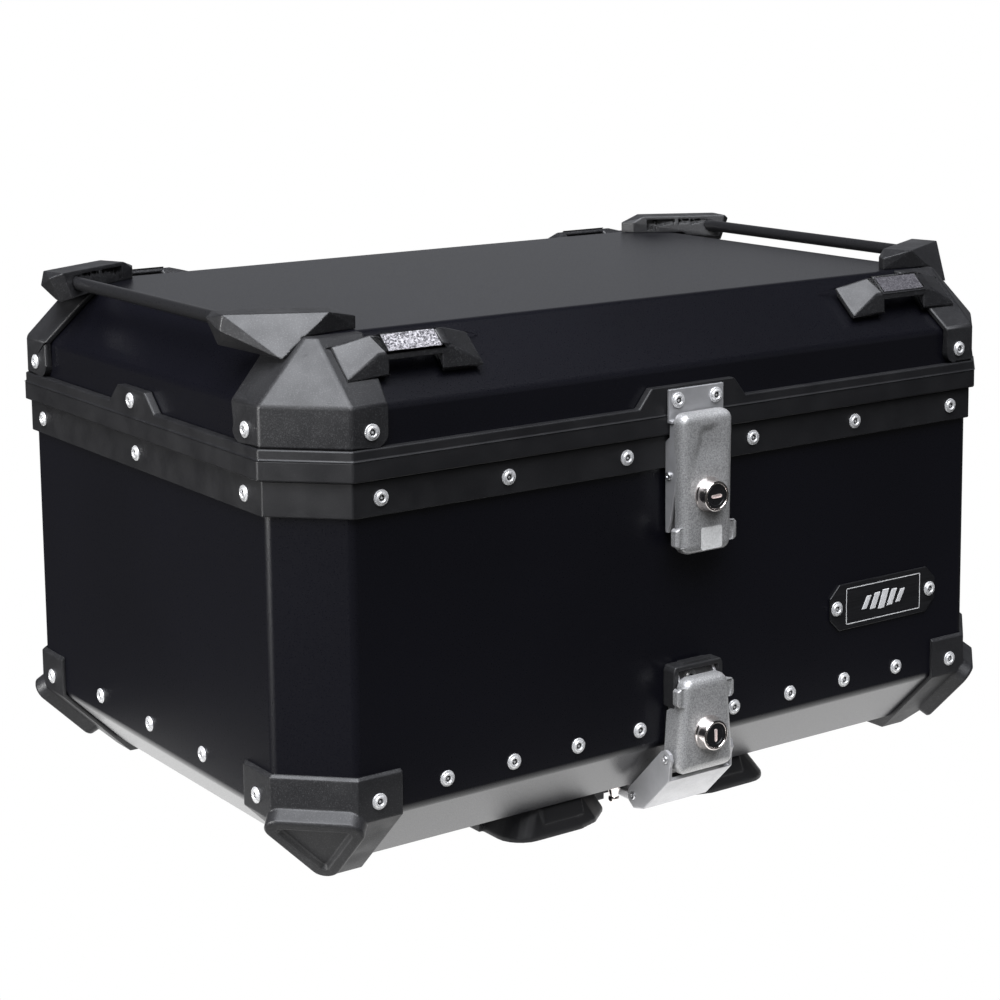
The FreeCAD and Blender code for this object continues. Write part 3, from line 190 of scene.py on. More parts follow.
def cast_silver():
    """Sand-blasted silver paint on a casting: sparkling grain and faint rubbed patches."""
    s = Shader("cast_silver", (0.5, 0.5, 0.5), 0.42, metal=0.55)
    s.tint(s.spread(s.noise(1300.0, 4.0), 0.36, 0.66, 0, 1), (0.29, 0.29, 0.29),
           (0.52, 0.52, 0.52))
    s.rough(s.noise(40.0, 3.0), 0.36, 0.48)
    s.bump(s.noise(2000.0, 3.0), 0.00008, 0.35)
    return s.material


def steel(name, colour, rough=0.3, along=(1.0, 1.0, 1.0), metal=0.95):
    """Bare metal with fine drawn lines along its stretched axis."""
    s = Shader(name, colour, rough, metal=metal)
    lines = s.noise(900.0, 3.0, s.stretched(along))
    s.rough(lines, rough - 0.08, rough + 0.12)
    s.tint(s.spread(s.noise(70.0, 4.0), 0.35, 0.7, 0, 1), colour, tuple(c * 0.82 for c in colour))
    s.bump(lines, 0.00002, 0.4)
    return s.material


def chrome(name, colour):
    s = Shader(name, colour, 0.12, metal=1.0)
    s.rough(s.noise(300.0, 4.0), 0.08, 0.2)
    return s.material


def rivet_metal():
    s = Shader("rivet_metal", (0.8, 0.8, 0.8), 0.24, metal=0.5)
    s.rough(s.noise(700.0, 3.0), 0.2, 0.36)
    s.tint(s.spread(s.noise(400.0, 3.0), 0.3, 0.75, 0, 1), (0.84, 0.84, 0.84), (0.6, 0.6, 0.61))
    return s.material


def reflective():
    """Silver retroreflective sheet: tiny facets, each with its own brightness as painted glints that
    also glow by emission, with painted shade making them duller to +X.
    """
    s = Shader("reflective_tape", (0.4, 0.4, 0.42), 0.3, metal=0.35)
    split = s.tree.nodes.new("ShaderNodeSeparateColor")
    s.link(s.cells(1100.0, "Color"), split.inputs["Color"])
    along = s.tree.nodes.new("ShaderNodeSeparateXYZ")
    s.link(s.place, along.inputs["Vector"])
    painted_glints_and_shade = s.spread(split.outputs["Red"], 0.15, 0.95, 0, 1)
    # painted shade: the glints fade to a tenth towards +X, on the loop that faces away from the light
    s.link(s.spread(along.outputs["X"], -0.10, 0.14, 1.0, 0.10), painted_glints_and_shade.node.inputs["To Max"])
    painted_glint_colour = s.tint(painted_glints_and_shade, (0.07, 0.067, 0.075), (0.56, 0.545, 0.57))
    # painted glints: the facet colours also glow by emission, though the tape is no lamp
    s.link(painted_glint_colour, s.surface.inputs["Emission Color"])
    s.surface.inputs["Emission Strength"].default_value = 0.07
    s.rough(split.outputs["Green"], 0.15, 0.5)
    s.bump(s.cells(1100.0), 0.0002, 0.5)
    return s.material


def rubber(name, colour):
    s = Shader(name, colour, 0.72, specular=0.35)
    s.tint(s.spread(s.noise(90.0, 3.0), 0.3, 0.7, 0, 1), colour, tuple(c * 1.6 for c in colour))
    s.rough(s.noise(150.0, 3.0), 0.62, 0.82)
    s.bump(s.noise(500.0, 3.0), 0.00015, 0.5)
    return s.material


def brushed_black():
    s = Shader("name_plate_metal", (0.02, 0.02, 0.022), 0.3, metal=0.4)
    lines = s.noise(2600.0, 2.0, s.stretched((0.02, 1.0, 1.0)))
    s.tint(s.spread(lines, 0.3, 0.7, 0, 1), (0.010, 0.010, 0.011), (0.020, 0.020, 0.022))
    s.rough(lines, 0.28, 0.38)
    s.bump(lines, 0.00001, 0.3)
    return s.material


def paper():
    """A blank pale label with a faint fibre pattern."""
    s = Shader("label_paper", (0.62, 0.62, 0.6), 0.55)
    s.tint(s.spread(s.noise(900.0, 4.0), 0.3, 0.7, 0, 1), (0.66, 0.66, 0.65), (0.5, 0.5, 0.49))
    s.rough(s.noise(300.0, 2.0), 0.48, 0.62)
    return s.material


DARK = (0.011, 0.011, 0.012)
MATERIALS = {
    "powder_coat": powder_coat(),
    "frame_plastic": moulded("frame_plastic", (0.005, 0.005, 0.006), (0.013, 0.013, 0.014)),
    "corner_plastic": shaded_below(
        moulded("corner_plastic", (0.010, 0.010, 0.011), (0.042, 0.042, 0.044), 0.46)),
    "bracket_plastic": moulded("bracket_plastic", (0.010, 0.010, 0.011), (0.055, 0.055, 0.057), 0.42),
    "rail_paint": satin_paint("rail_paint", (0.012, 0.012, 0.013), 0.3),
    "rivet_metal": rivet_metal(),
    "reflective_tape": reflective(),
    "name_plate_metal": brushed_black(),
    "latch_casting": cast_silver(),
    "latch_sheet": steel("latch_sheet", (0.46, 0.46, 0.47), 0.38, metal=0.6),
    "latch_black": moulded("latch_black", DARK, (0.03, 0.03, 0.03)),
    "lock_chrome": chrome("lock_chrome", (0.86, 0.80, 0.77)),
    "lock_black": satin_paint("lock_black", (0.008, 0.008, 0.009), 0.3),
    "hinge_steel": satin_paint("hinge_steel", DARK),
    "pin_steel": steel("pin_steel", (0.62, 0.62, 0.63), 0.3, (0.1, 1.0, 1.0)),
    "screw_black": satin_paint("screw_black", (0.02, 0.02, 0.02), 0.3),
    "liner_rubber": rubber("liner_rubber", (0.016, 0.016, 0.017)),
    "seal_rubber": rubber("seal_rubber", (0.010, 0.010, 0.010)),
    "plate_plastic": moulded("plate_plastic", (0.004, 0.004, 0.005), (0.010, 0.010, 0.011),
                             specular=0.25),
    "hook_steel": satin_paint("hook_steel", DARK),
    "stay_steel": satin_paint("stay_steel", (0.05, 0.05, 0.053), 0.36),
}
# painted shade for the rivets: a near-black ring stands in for the shadow in each pit
PIT_SHADE = satin_paint("rivet_pit_shade", (0.012, 0.012, 0.012), 0.5)
LABEL = paper()
EMBLEM = steel("emblem", (0.8, 0.8, 0.8), 0.36, metal=0.3)
SLOT_METAL = steel("slot_metal", (0.85, 0.72, 0.68), 0.3, metal=0.25)
for node, item in frame["nodes"].items():
    item.data.materials.clear()
    item.data.materials.append(MATERIALS[SLOT[node]])


# ---------------------------------------------------------------- mesh helpers


def welded(node):
    """The CAD node's mesh as a bmesh with shared corners and whole flat faces."""
    bm = bmesh.new()
    bm.from_mesh(frame["nodes"][node].data)
    bmesh.ops.remove_doubles(bm, verts=bm.verts, dist=3e-6)
    bmesh.ops.dissolve_limit(bm, angle_limit=math.radians(0.8), verts=bm.verts, edges=bm.edges)
    return bm


def as_object(name, bm, material):
    mesh = bpy.data.meshes.new(name)
    bm.normal_update()
    bm.to_mesh(mesh)
    bm.free()
    item = bpy.data.objects.new(name, mesh)
    scene.collection.objects.link(item)
    mesh.materials.append(material)
    return item


def settled(item):
    """The object with its modifiers applied."""
    bpy.context.view_layer.update()
    graph = bpy.context.evaluated_depsgraph_get()
    mesh = bpy.data.meshes.new_from_object(item.evaluated_get(graph))
    item.modifiers.clear()
    item.data = mesh
    return item


def smooth(item, sharp=38.0):
    """Smooth shading over the roundings, flat over the flats."""
    item.data.shade_smooth()
    item.data.set_sharp_from_angle(angle=math.radians(sharp))
    weighted = item.modifiers.new("normals", "WEIGHTED_NORMAL")
    weighted.keep_sharp = True
    weighted.weight = 60
    return settled(item)


def attach(item, node):
    """The piece stands for a CAD node and rides on that node's body."""
    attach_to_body(item, BODY[node])
    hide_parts(node)
    return item


def add_on(item, node):
    """A small extra piece that rides with a node without taking its place."""
    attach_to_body(item, BODY[node])
    return item


def round_edges(bm, shortest, angle=24.0):
    """Marks the edges to round: longer than the shortest, sharper than the angle."""
    layer = bm.edges.layers.float.new("bevel_weight_edge")
    for edge in bm.edges:
        if len(edge.link_faces) != 2 or edge.calc_length() < shortest:
            continue
        if edge.calc_face_angle(0.0) > math.radians(angle):
            edge[layer] = 1.0


def rounded(item, width, segments=3):
    bevel = item.modifiers.new("rounding", "BEVEL")
    bevel.width = width
    bevel.segments = segments
    bevel.limit_method = "WEIGHT"
    bevel.use_clamp_overlap = False
    bevel.miter_outer = "MITER_SHARP"
    return settled(item)


def refine(node, width, segments=3, shortest=None, angle=24.0):
    """A copy of a CAD node with rounded edges that takes its place."""
    bm = welded(node)
    round_edges(bm, shortest or 2.2 * width, angle)
    item = as_object(node + "_look", bm, MATERIALS[SLOT[node]])
    return attach(smooth(rounded(item, width, segments)), node)


def split(node):
    """A CAD node's separate solids, each as its own bmesh."""
    source = bmesh.new()
    source.from_mesh(frame["nodes"][node].data)
    bmesh.ops.remove_doubles(source, verts=source.verts, dist=3e-6)
    source.verts.index_update()
    left = set(source.verts)
    solids = []
    while left:
        stack = [left.pop()]
        group = list(stack)
        while stack:
            for edge in stack.pop().link_edges:
                for vert in edge.verts:
                    if vert in left:
                        left.discard(vert)
                        stack.append(vert)
                        group.append(vert)
        inside = set(group)
        bm = bmesh.new()
        twin = {vert: bm.verts.new(vert.co) for vert in group}
        for face in source.faces:
            if face.verts[0] in inside:
                bm.faces.new([twin[vert] for vert in face.verts])
        solids.append(bm)
    source.free()
    return solids


def box_of(points):
    return (Vector([min(p[i] for p in points) for i in range(3)]),
            Vector([max(p[i] for p in points) for i in range(3)]))


def worn(name, bm, material, depth, relax, kept):
    """The solid rebuilt on an even grid of 2 ** depth cells, rubbed round and thinned out."""
    item = as_object(name, bm, material)
    grid = item.modifiers.new("grid", "REMESH")
    grid.mode = "SHARP"
    grid.octree_depth = depth
    grid.scale = 0.92
    grid.use_remove_disconnected = False
    rub = item.modifiers.new("rub", "SMOOTH")
    rub.factor = 0.5
    rub.iterations = relax
    thin = item.modifiers.new("thin", "DECIMATE")
    thin.decimate_type = "COLLAPSE"
    thin.ratio = kept
    return settled(item)


def soften(nodes, depth, relax, kept=0.18):
    """Rubs one solid of a mirrored family round and lays mirrored copies over the others."""
    first = None
    for node in nodes:
        solids = split(node)
        bm = bmesh.new()
        for solid in solids:
            low, high = box_of([v.co for v in solid.verts])
            middle = (low + high) / 2
            side = (1 if middle.x > 0 else -1, 1 if middle.y > 0 else -1)
            if first is None:
                piece = worn(node + "_look", solid, MATERIALS[SLOT[node]], depth, relax, kept)
                first = (piece.data.copy(), side)
                bpy.data.objects.remove(piece)
            else:
                solid.free()
            mesh, home = first
            turn = Matrix.Diagonal((side[0] * home[0], side[1] * home[1], 1, 1))
            copy = bmesh.new()
            copy.from_mesh(mesh)
            bmesh.ops.transform(copy, matrix=turn, verts=copy.verts)
            if side[0] * home[0] * side[1] * home[1] < 0:
                bmesh.ops.reverse_faces(copy, faces=copy.faces)
            scratch = bpy.data.meshes.new("scratch")
            copy.to_mesh(scratch)
            copy.free()
            bm.from_mesh(scratch)
            bpy.data.meshes.remove(scratch)
        item = as_object(node + "_look", bm, MATERIALS[SLOT[node]])
        attach(smooth(item, 45.0), node)


def spun(bm, profile, centre, normal, steps):
    """Adds a turned solid: profile is (radius, height) from the axis foot to the axis top."""
    turn = Vector((0, 0, 1)).rotation_difference(Vector(normal)).to_matrix()
    centre = Vector(centre)
    rings = []
    for radius, height in profile:
        if radius < 1e-7:
            rings.append([bm.verts.new(centre + turn @ Vector((0, 0, height)))])
            continue
        rings.append([bm.verts.new(centre + turn @ Vector((
            radius * math.cos(2 * math.pi * i / steps),
            radius * math.sin(2 * math.pi * i / steps), height))) for i in range(steps)])
    for low, high in zip(rings, rings[1:]):
        for i in range(steps):
            j = (i + 1) % steps
            loop = [low[i % len(low)], low[j % len(low)], high[j % len(high)], high[i % len(high)]]
            unique = list(dict.fromkeys(loop))
            if len(unique) > 2:
                bm.faces.new(unique)


def plate(bm, outline, base, thick, axis=1, taper=0.0):
    """Adds a thin raised plate: the outline is in the two other axes, wound either way."""
    middle = [sum(p[i] for p in outline) / len(outline) for i in range(2)]

    def at(point, level, shrink):
        u = point[0] + (middle[0] - point[0]) * shrink
        v = point[1] + (middle[1] - point[1]) * shrink
        return {0: (level, u, v), 1: (u, level, v), 2: (u, v, level)}[axis]

    low = [bm.verts.new(at(p, base, 0.0)) for p in outline]
    high = [bm.verts.new(at(p, base + thick, taper)) for p in outline]
    count = len(outline)
    faces = [bm.faces.new(low), bm.faces.new(list(reversed(high)))]
    for i in range(count):
        j = (i + 1) % count
        faces.append(bm.faces.new((low[j], low[i], high[i], high[j])))
    bmesh.ops.recalc_face_normals(bm, faces=faces)


# ---------------------------------------------------------------- sheet-metal shells


def sheet_shell(node, open_sides, bend, thickness=1.5 * MM):
    """Folded sheet: rounded bends, open sides, real thickness."""
    bm = bmesh.new()
    for point in {tuple(round(c, 6) for c in v.co) for v in frame["nodes"][node].data.vertices}:
        bm.verts.new(point)
    made = bmesh.ops.convex_hull(bm, input=bm.verts)
    loose = [g for g in made["geom_interior"] if isinstance(g, bmesh.types.BMVert)]
    loose += [v for v in bm.verts if not v.link_faces]
    bmesh.ops.delete(bm, geom=list(set(loose)), context="VERTS")
    bmesh.ops.dissolve_limit(bm, angle_limit=math.radians(1.0), verts=bm.verts, edges=bm.edges)
    bm.normal_update()
    cut = [f for f in bm.faces if any(f.normal.z * side > 0.99 for side in open_sides)]
    bmesh.ops.delete(bm, geom=cut, context="FACES")
    round_edges(bm, 0.001, 8.0)
    item = as_object(node + "_look", bm, MATERIALS[SLOT[node]])
    rounded(item, bend, 5)
    thick = item.modifiers.new("sheet", "SOLIDIFY")
    thick.thickness = thickness
    thick.offset = -1
    settled(item)
    return attach(smooth(item), node)


sheet_shell("body_shell", (1, -1), 3.2 * MM)
sheet_shell("bottom_pan", (1,), 2.4 * MM)
sheet_shell("lid_shell", (-1,), 3.0 * MM)


# ---------------------------------------------------------------- rivets


def rivet_heads(node):
    """Set blind rivets: rolled flange, raised collar and the pit the mandrel left, with a near-black
    ring laid in the pit as painted shade.
    """
    bm, pit_shade = bmesh.new(), bmesh.new()
    profile = [(0, -9.0), (2.3, -9.0), (2.3, 0.0), (4.4, 0.0), (4.65, 0.2), (4.7, 0.55),
               (4.45, 0.95), (3.7, 1.05), (3.5, 1.1), (3.25, 1.6), (2.8, 1.8), (2.4, 1.82),
               (2.1, 1.7), (1.9, 1.3), (1.8, 0.5), (1.65, 0.1), (0.85, 0.1), (0.7, 0.9),
               (0, 1.0)]
    # painted shade: a near-black ring filling the groove round the mandrel
    pit = [(0.78, 0.05), (0.78, 0.7), (1.84, 0.7), (1.84, 0.05)]
    for solid in split(node):
        low, high = box_of([v.co for v in solid.verts])
        solid.free()
        middle = (low + high) / 2
        sideways = abs(middle.x) / cad_high.x > abs(middle.y) / cad_high.y * 0.97
        axis = 0 if sideways else 1
        sign = 1 if middle[axis] > 0 else -1
        normal = Vector((sign, 0, 0)) if sideways else Vector((0, sign, 0))
        foot = middle.copy()
        foot[axis] = (high if sign > 0 else low)[axis] - sign * 1.6 * MM
        spun(bm, [(r * MM, h * MM) for r, h in profile], foot, normal, 32)
        spun(pit_shade, [(r * MM, h * MM) for r, h in pit], foot, normal, 24)
    item = as_object(node + "_look", bm, MATERIALS[SLOT[node]])
    attach(smooth(item, 50.0), node)
    add_on(as_object(node + "_pits", pit_shade, PIT_SHADE), node)


rivet_heads("body_rivets")
rivet_heads("lid_rivets")


# ---------------------------------------------------------------- frames, corners, rail, loops

refine("body_rim", 0.9 * MM, 3)
refine("lid_rim", 1.1 * MM, 3)
soften(["corner_caps_front", "corner_caps_rear"], depth=7, relax=5)
for row in ("front", "rear"):
    refine("lid_corners_" + row, 1.7 * MM, 3)
    refine("grab_loops_" + row, 1.4 * MM, 3, shortest=2.0 * MM)
soften([f"rail_bracket_{row}_{side}" for row in ("front", "rear") for side in ("left", "right")],
       depth=7, relax=6)
refine("reflective_strips", 0.3 * MM, 2)
for side in ("left", "right"):
    refine("rail_bar_" + side, 0.4 * MM, 2)


def name_plate():
    """The plate with rounded edges, a thin raised border and a plain emblem of slanted bars."""
    refine("name_plate", 0.5 * MM, 3)
    low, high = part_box("name_plate")
    face = low.y
    centre = (low + high) / 2
    bm = bmesh.new()
    half_x = (high.x - low.x) / 2 - 13.5 * MM
    half_z = (high.z - low.z) / 2 - 3.2 * MM
    line = 0.5 * MM
    for x0, x1, z0, z1 in ((-half_x, half_x, half_z - line, half_z),
                           (-half_x, half_x, -half_z, -half_z + line),
                           (-half_x, -half_x + line, -half_z, half_z),
                           (half_x - line, half_x, -half_z, half_z)):
        corners = [(centre.x + x, centre.z + z) for x, z in ((x0, z0), (x1, z0), (x1, z1), (x0, z1))]
        plate(bm, corners, face + 0.1 * MM, -0.25 * MM)
    slant = 4.5 * MM
    tall = 6.2 * MM
    for step in range(-2, 3):
        x = centre.x + step * 7.4 * MM
        wide = (2.6 - 0.35 * abs(step)) * MM
        height = tall - abs(step) * 1.0 * MM
        corners = [(x - wide - slant / 2, centre.z - height), (x + wide - slant / 2, centre.z - height),
                   (x + wide + slant / 2, centre.z + height), (x - wide + slant / 2, centre.z + height)]
        plate(bm, corners, face + 0.1 * MM, -0.45 * MM, taper=0.06)
    add_on(as_object("name_plate_emblem", bm, EMBLEM), "name_plate")


name_plate()


# ---------------------------------------------------------------- latches

COVER_FRONT = -205.0  # Y of both latch covers' faces, in millimetres
COVER_BACK = -196.6  # Y of their walls' rear edges


def rounded_outline(corners, radius, inset, steps=5, along=9):
    """A convex outline drawn in by the inset, with round corners and points along its sides."""
    arcs = []
    count = len(corners)
    for i in range(count):
        corner = Vector(corners[i])
        before = (Vector(corners[i - 1]) - corner).normalized()
        after = (Vector(corners[(i + 1) % count]) - corner).normalized()
        half = before.angle(after) / 2
        bisector = (before + after).normalized()
        bend = max(radius - inset, 0.5)
        corner = corner + bisector * (inset / math.sin(half))
        centre = corner + bisector * (bend / math.sin(half))
        start = corner + before * (bend / math.tan(half)) - centre
        end = corner + after * (bend / math.tan(half)) - centre
        arcs.append([centre + start.lerp(end, k / steps).normalized() * bend
                     for k in range(steps + 1)])
    points = []
    for i, arc in enumerate(arcs):
        points += arc
        following = arcs[(i + 1) % count][0]
        points += [arc[-1].lerp(following, k / along) for k in range(1, along)]
    return points


def casting(corners, radius, back):
    """A hollow cast cover: rounded outline, soft front edge, open back; millimetres.

    corners are (x, z); back(z) gives the Y of the rear edge.
    """
    bm = bmesh.new()
    wall = 1.8
    soft = [(0.0, 5.4), (0.15, 4.2), (0.55, 2.9), (1.3, 1.75), (2.4, 0.8), (3.8, 0.22), (5.4, 0.0)]
    rings = []

    def add(inset, depth):
        outline = rounded_outline(corners, radius, inset)
        rings.append([bm.verts.new((x * MM, depth(z) * MM, z * MM)) for x, z in outline])

    add(0.0, back)
    for inset, drop in soft:
        add(inset, lambda z, drop=drop: COVER_FRONT + drop)
    front = len(rings) - 1
    add(wall, back)
    add(wall + 0.4, lambda z: COVER_FRONT + wall + 2.5)
    add(wall + 3.4, lambda z: COVER_FRONT + wall)
    for first, second in [(i, i + 1) for i in range(front)] + [(front + 2, front + 1),
                                                              (front + 3, front + 2),
                                                              (front + 1, 0)]:
        low, high = rings[first], rings[second]
        for i in range(len(low)):
            j = (i + 1) % len(low)
            bm.faces.new((low[i], low[j], high[j], high[i]))
    bm.faces.new(rings[front])
    bm.faces.new(rings[front + 3])
    bmesh.ops.recalc_face_normals(bm, faces=bm.faces)
    return bm


def ease(value):
    value = min(max(value, 0.0), 1.0)
    return value * value * (3 - 2 * value)


def top_cover():
    """The upper cover with its sunk wedge-shaped field that fades out above the lock."""
    corners = [(-20.0, 262.0), (20.0, 262.0), (18.6, 177.0), (-18.6, 177.0)]
    field_top = 253.5
    sunk = 1.5 * MM
    item = worn("top_latch_cover_look", casting(corners, 6.0, lambda z: COVER_BACK),
                MATERIALS["latch_casting"], depth=8, relax=3, kept=0.2)
    for vert in item.data.vertices:
        x, y, z = (c / MM for c in vert.co)
        if y > -203.6:
            continue
        side = 5.5 + (field_top - z) * 0.34 - abs(x - 0.5)
        depth = ease(min(side, field_top - z) / 2.0) * ease((z - 226.0) / 16.0)
        vert.co.y += sunk * depth
    attach(smooth(item, 60.0), "top_latch_cover")


def bottom_cover():
    """The lower cover: narrower at its upper end, its foot curved round the pivot."""
    corners = [(-17.0, 101.0), (17.0, 101.0), (21.7, 42.0), (-21.7, 42.0)]

    def back(z):
        return COVER_BACK + 8.0 * ease((84.5 - z) / 3.0) * ease((z - 43.0) / 6.0)

    item = worn("bottom_latch_cover_look", casting(corners, 7.0, back),
                MATERIALS["latch_casting"], depth=8, relax=3, kept=0.2)
    pivot = Vector((-194.5, 51.7)) * MM
    reach = 11.1 * MM
    for vert in item.data.vertices:
        arm = vert.co.yz - pivot
        if arm.y < 0 and arm.length > reach:
            vert.co.yz = pivot + arm * (reach / arm.length)
    attach(smooth(item, 60.0), "bottom_latch_cover")


def widened(node, factor, width, segments=2):
    """A rounded copy of a node, stretched sideways so that it meets the cover's walls."""
    bm = welded(node)
    round_edges(bm, 2.2 * width)
    item = rounded(as_object(node + "_look", bm, MATERIALS[SLOT[node]]), width, segments)
    for vert in item.data.vertices:
        vert.co.x *= factor
    attach(smooth(item), node)


top_cover()
bottom_cover()
widened("top_latch_base", 19.6 / 16.2, 0.5 * MM)
widened("bottom_latch_base", 1.0, 0.45 * MM)
widened("top_release", 1.0, 1.0 * MM, 3)
widened("bottom_release", 21.9 / 25.4, 1.0 * MM, 3)
refine("strike_plate", 0.45 * MM, 2)
soften(["hook_link"], depth=7, relax=4, kept=0.2)
refine("hook_claw", 0.8 * MM, 2)


def housing():
    """The black housing behind the lower cover, with a raised panel on its top."""
    refine("bottom_latch_block", 1.0 * MM, 3)
    low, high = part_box("bottom_latch_block")
    bm = bmesh.new()
    corners = [(-11 * MM, low.y + 1.5 * MM), (11 * MM, low.y + 1.5 * MM),
               (11 * MM, high.y - 2.5 * MM), (-11 * MM, high.y - 2.5 * MM)]
    plate(bm, corners, high.z - 0.3 * MM, 1.5 * MM, axis=2, taper=0.1)
    add_on(as_object("bottom_latch_panel", bm, MATERIALS["latch_black"]), "bottom_latch_block")


housing()
for node in ("hinge_leaves_body", "hinge_leaves_lid", "rear_hooks"):
    refine(node, 0.6 * MM, 2)
soften(["base_plate"], depth=8, relax=4, kept=0.15)


def pin_ends(node):
    """Pins along X with rounded ends and a small centre pit in each."""
    bm = bmesh.new()
    for solid in split(node):
        low, high = box_of([v.co for v in solid.verts])
        solid.free()
        radius = (high.z - low.z) / 2
        middle = (low + high) / 2
        half = (high.x - low.x) / 2
        edge = 0.5 * MM
        end = [(0, half - edge), (radius * 0.3, half - edge), (radius * 0.42, half - 0.1 * MM),
               (radius - edge, half), (radius, half - edge)]
        profile = [(r, -h) for r, h in end] + [(r, h) for r, h in reversed(end)]
        spun(bm, profile, middle, (1, 0, 0), 32)
    item = as_object(node + "_look", bm, MATERIALS[SLOT[node]])
    return attach(smooth(item, 40.0), node)


for node in ("top_latch_pin", "bottom_latch_pin", "hook_pin", "hinge_pins"):
    pin_ends(node)


def stud():
    """The hanging stud: a collar, a waist and a round tip."""
    low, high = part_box("catch_stud")
    middle = (low + high) / 2
    profile = [(0, 0), (2.6, 0), (3.1, 0.3), (3.4, 0.9), (3.3, 2.9), (2.7, 3.6), (2.8, 4.2),
               (4.1, 8.4), (4.7, 8.9), (4.8, 9.4), (4.8, 10.4), (0, 10.4)]
    bm = bmesh.new()
    spun(bm, [(r * MM, h * MM) for r, h in profile], (middle.x, middle.y, low.z), (0, 0, 1), 36)
    attach(smooth(as_object("catch_stud_look", bm, MATERIALS["lock_chrome"]), 40.0), "catch_stud")


stud()


def label():
    """A blank pale label on the lower part of the top latch."""
    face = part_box("top_latch_cover")[0].y
    bm = bmesh.new()
    half_x, half_z, corner = 8.0, 6.8, 1.6
    outline = []
    for sx, sz, start in ((1, 1, 0), (-1, 1, 90), (-1, -1, 180), (1, -1, 270)):
        for turn in range(0, 91, 18):
            angle = math.radians(start + turn)
            outline.append((2.3 + sx * (half_x - corner) + corner * math.cos(angle),
                            186.0 + sz * (half_z - corner) + corner * math.sin(angle)))
    plate(bm, [(x * MM, z * MM) for x, z in outline], face + 0.3 * MM, -0.35 * MM)
    add_on(as_object("top_latch_label", bm, LABEL), "top_latch_cover")


def lock(prefix, upright):
    """A turned collar with a sloped flange, and the black plug face with its key slot."""
    low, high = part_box(prefix + "_lock_barrel")
    centre = (low + high) / 2
    front = low.y
    seat = COVER_FRONT * MM
    depth = (seat - front) / MM
    bm = bmesh.new()
    profile = [(7.3, -6.0), (8.9, -6.0), (8.9, -0.2), (10.6, -0.2), (10.7, 0.5), (10.3, 1.3),
               (9.9, 2.2), (9.2, depth - 1.2), (8.9, depth - 0.4), (8.4, depth), (7.9, depth),
               (7.5, depth - 0.3), (7.3, depth - 0.9), (7.3, -6.0)]
    spun(bm, [(r * MM, h * MM) for r, h in profile], (centre.x, seat, centre.z), (0, -1, 0), 48)
    collar = as_object(prefix + "_lock_collar", bm, MATERIALS["lock_chrome"])
    attach(smooth(collar, 50.0), prefix + "_lock_barrel")
    bm = bmesh.new()
    face = depth - 0.7
    profile = [(0, -6.8), (7.25, -6.8), (7.25, face - 0.3), (6.9, face), (5.6, face),
               (5.45, face - 0.25), (0, face - 0.25)]
    spun(bm, [(r * MM, h * MM) for r, h in profile], (centre.x, seat, centre.z), (0, -1, 0), 48)
    plug = as_object(prefix + "_plug_face", bm, MATERIALS["lock_black"])
    attach(smooth(plug, 35.0), prefix + "_key_plug")
    bm = bmesh.new()
    loop = []
    cap = 1.0 * MM
    reach = 2.9 * MM
    for i in range(24):
        angle = 2 * math.pi * i / 24
        x = cap * math.cos(angle)
        z = cap * math.sin(angle)
        if upright:
            z += math.copysign(reach, z if abs(z) > 1e-9 else 1)
        else:
            x += math.copysign(reach, x if abs(x) > 1e-9 else 1)
        loop.append((centre.x + x, centre.z + z))
    back = [bm.verts.new((x, seat - (face - 1.2) * MM, z)) for x, z in loop]
    near = [bm.verts.new((x, seat - (face + 0.15) * MM, z)) for x, z in loop]
    inner = [bm.verts.new((centre.x + (x - centre.x) * 0.8, seat - (face + 0.15) * MM,
                           centre.z + (z - centre.z) * 0.8)) for x, z in loop]
    deep = [bm.verts.new((v.co.x, seat - (face - 0.2) * MM, v.co.z)) for v in inner]
    for a, b in ((back, near), (near, inner), (inner, deep)):
        for i in range(24):
            j = (i + 1) % 24
            bm.faces.new((a[i], a[j], b[j], b[i]))
    bm.faces.new(deep)
    bm.faces.new(list(reversed(back)))
    bmesh.ops.recalc_face_normals(bm, faces=bm.faces)
    slot = as_object(prefix + "_key_slot", bm, SLOT_METAL)
    slot.data.shade_smooth()
    slot.data.set_sharp_from_angle(angle=math.radians(40))
    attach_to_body(slot, BODY[prefix + "_key_plug"])


label()
lock("top", False)
lock("bottom", True)


# ---------------------------------------------------------------- rubber pieces


def gasket():
    """The lid's seal: a round-cornered rubber cord with a lip, following the opening."""
    refine("lid_gasket", 0.9 * MM, 4, shortest=3.0 * MM, angle=50.0)


def floor_liner():
    """A ribbed rubber mat with a rounded rim on the floor."""
    refine("floor_liner", 1.2 * MM, 4)
    low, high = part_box("floor_liner")
    bm = bmesh.new()
    edge = 14 * MM
    count = 15
    for i in range(count):
        y = low.y + edge + (high.y - low.y - 2 * edge) * i / (count - 1)
        half = 2.2 * MM
        corners = [(low.x + edge, y - half), (high.x - edge, y - half), (high.x - edge, y + half),
                   (low.x + edge, y + half)]
        plate(bm, corners, high.z - 0.4 * MM, 1.2 * MM, axis=2, taper=0.004)
    add_on(as_object("floor_liner_ribs", bm, MATERIALS["liner_rubber"]), "floor_liner")


def pads():
    """Round rubber pads with soft edges and a groove between the plate and the case."""
    bm = bmesh.new()
    for solid in split("plate_pads"):
        low, high = box_of([v.co for v in solid.verts])
        solid.free()
        middle = (low + high) / 2
        radius = (high.x - low.x) / 2
        tall = high.z - low.z
        profile = [(0, 0), (radius - 0.8 * MM, 0), (radius - 0.2 * MM, 0.3 * MM), (radius, 1 * MM),
                   (radius - 0.6 * MM, tall / 2), (radius, tall - 1 * MM),
                   (radius - 0.2 * MM, tall - 0.3 * MM), (radius - 0.8 * MM, tall), (0, tall)]
        spun(bm, profile, (middle.x, middle.y, low.z), (0, 0, 1), 40)
    attach(smooth(as_object("plate_pads_look", bm, MATERIALS["seal_rubber"]), 50.0), "plate_pads")


gasket()
floor_liner()
pads()


# ---------------------------------------------------------------- inside hardware

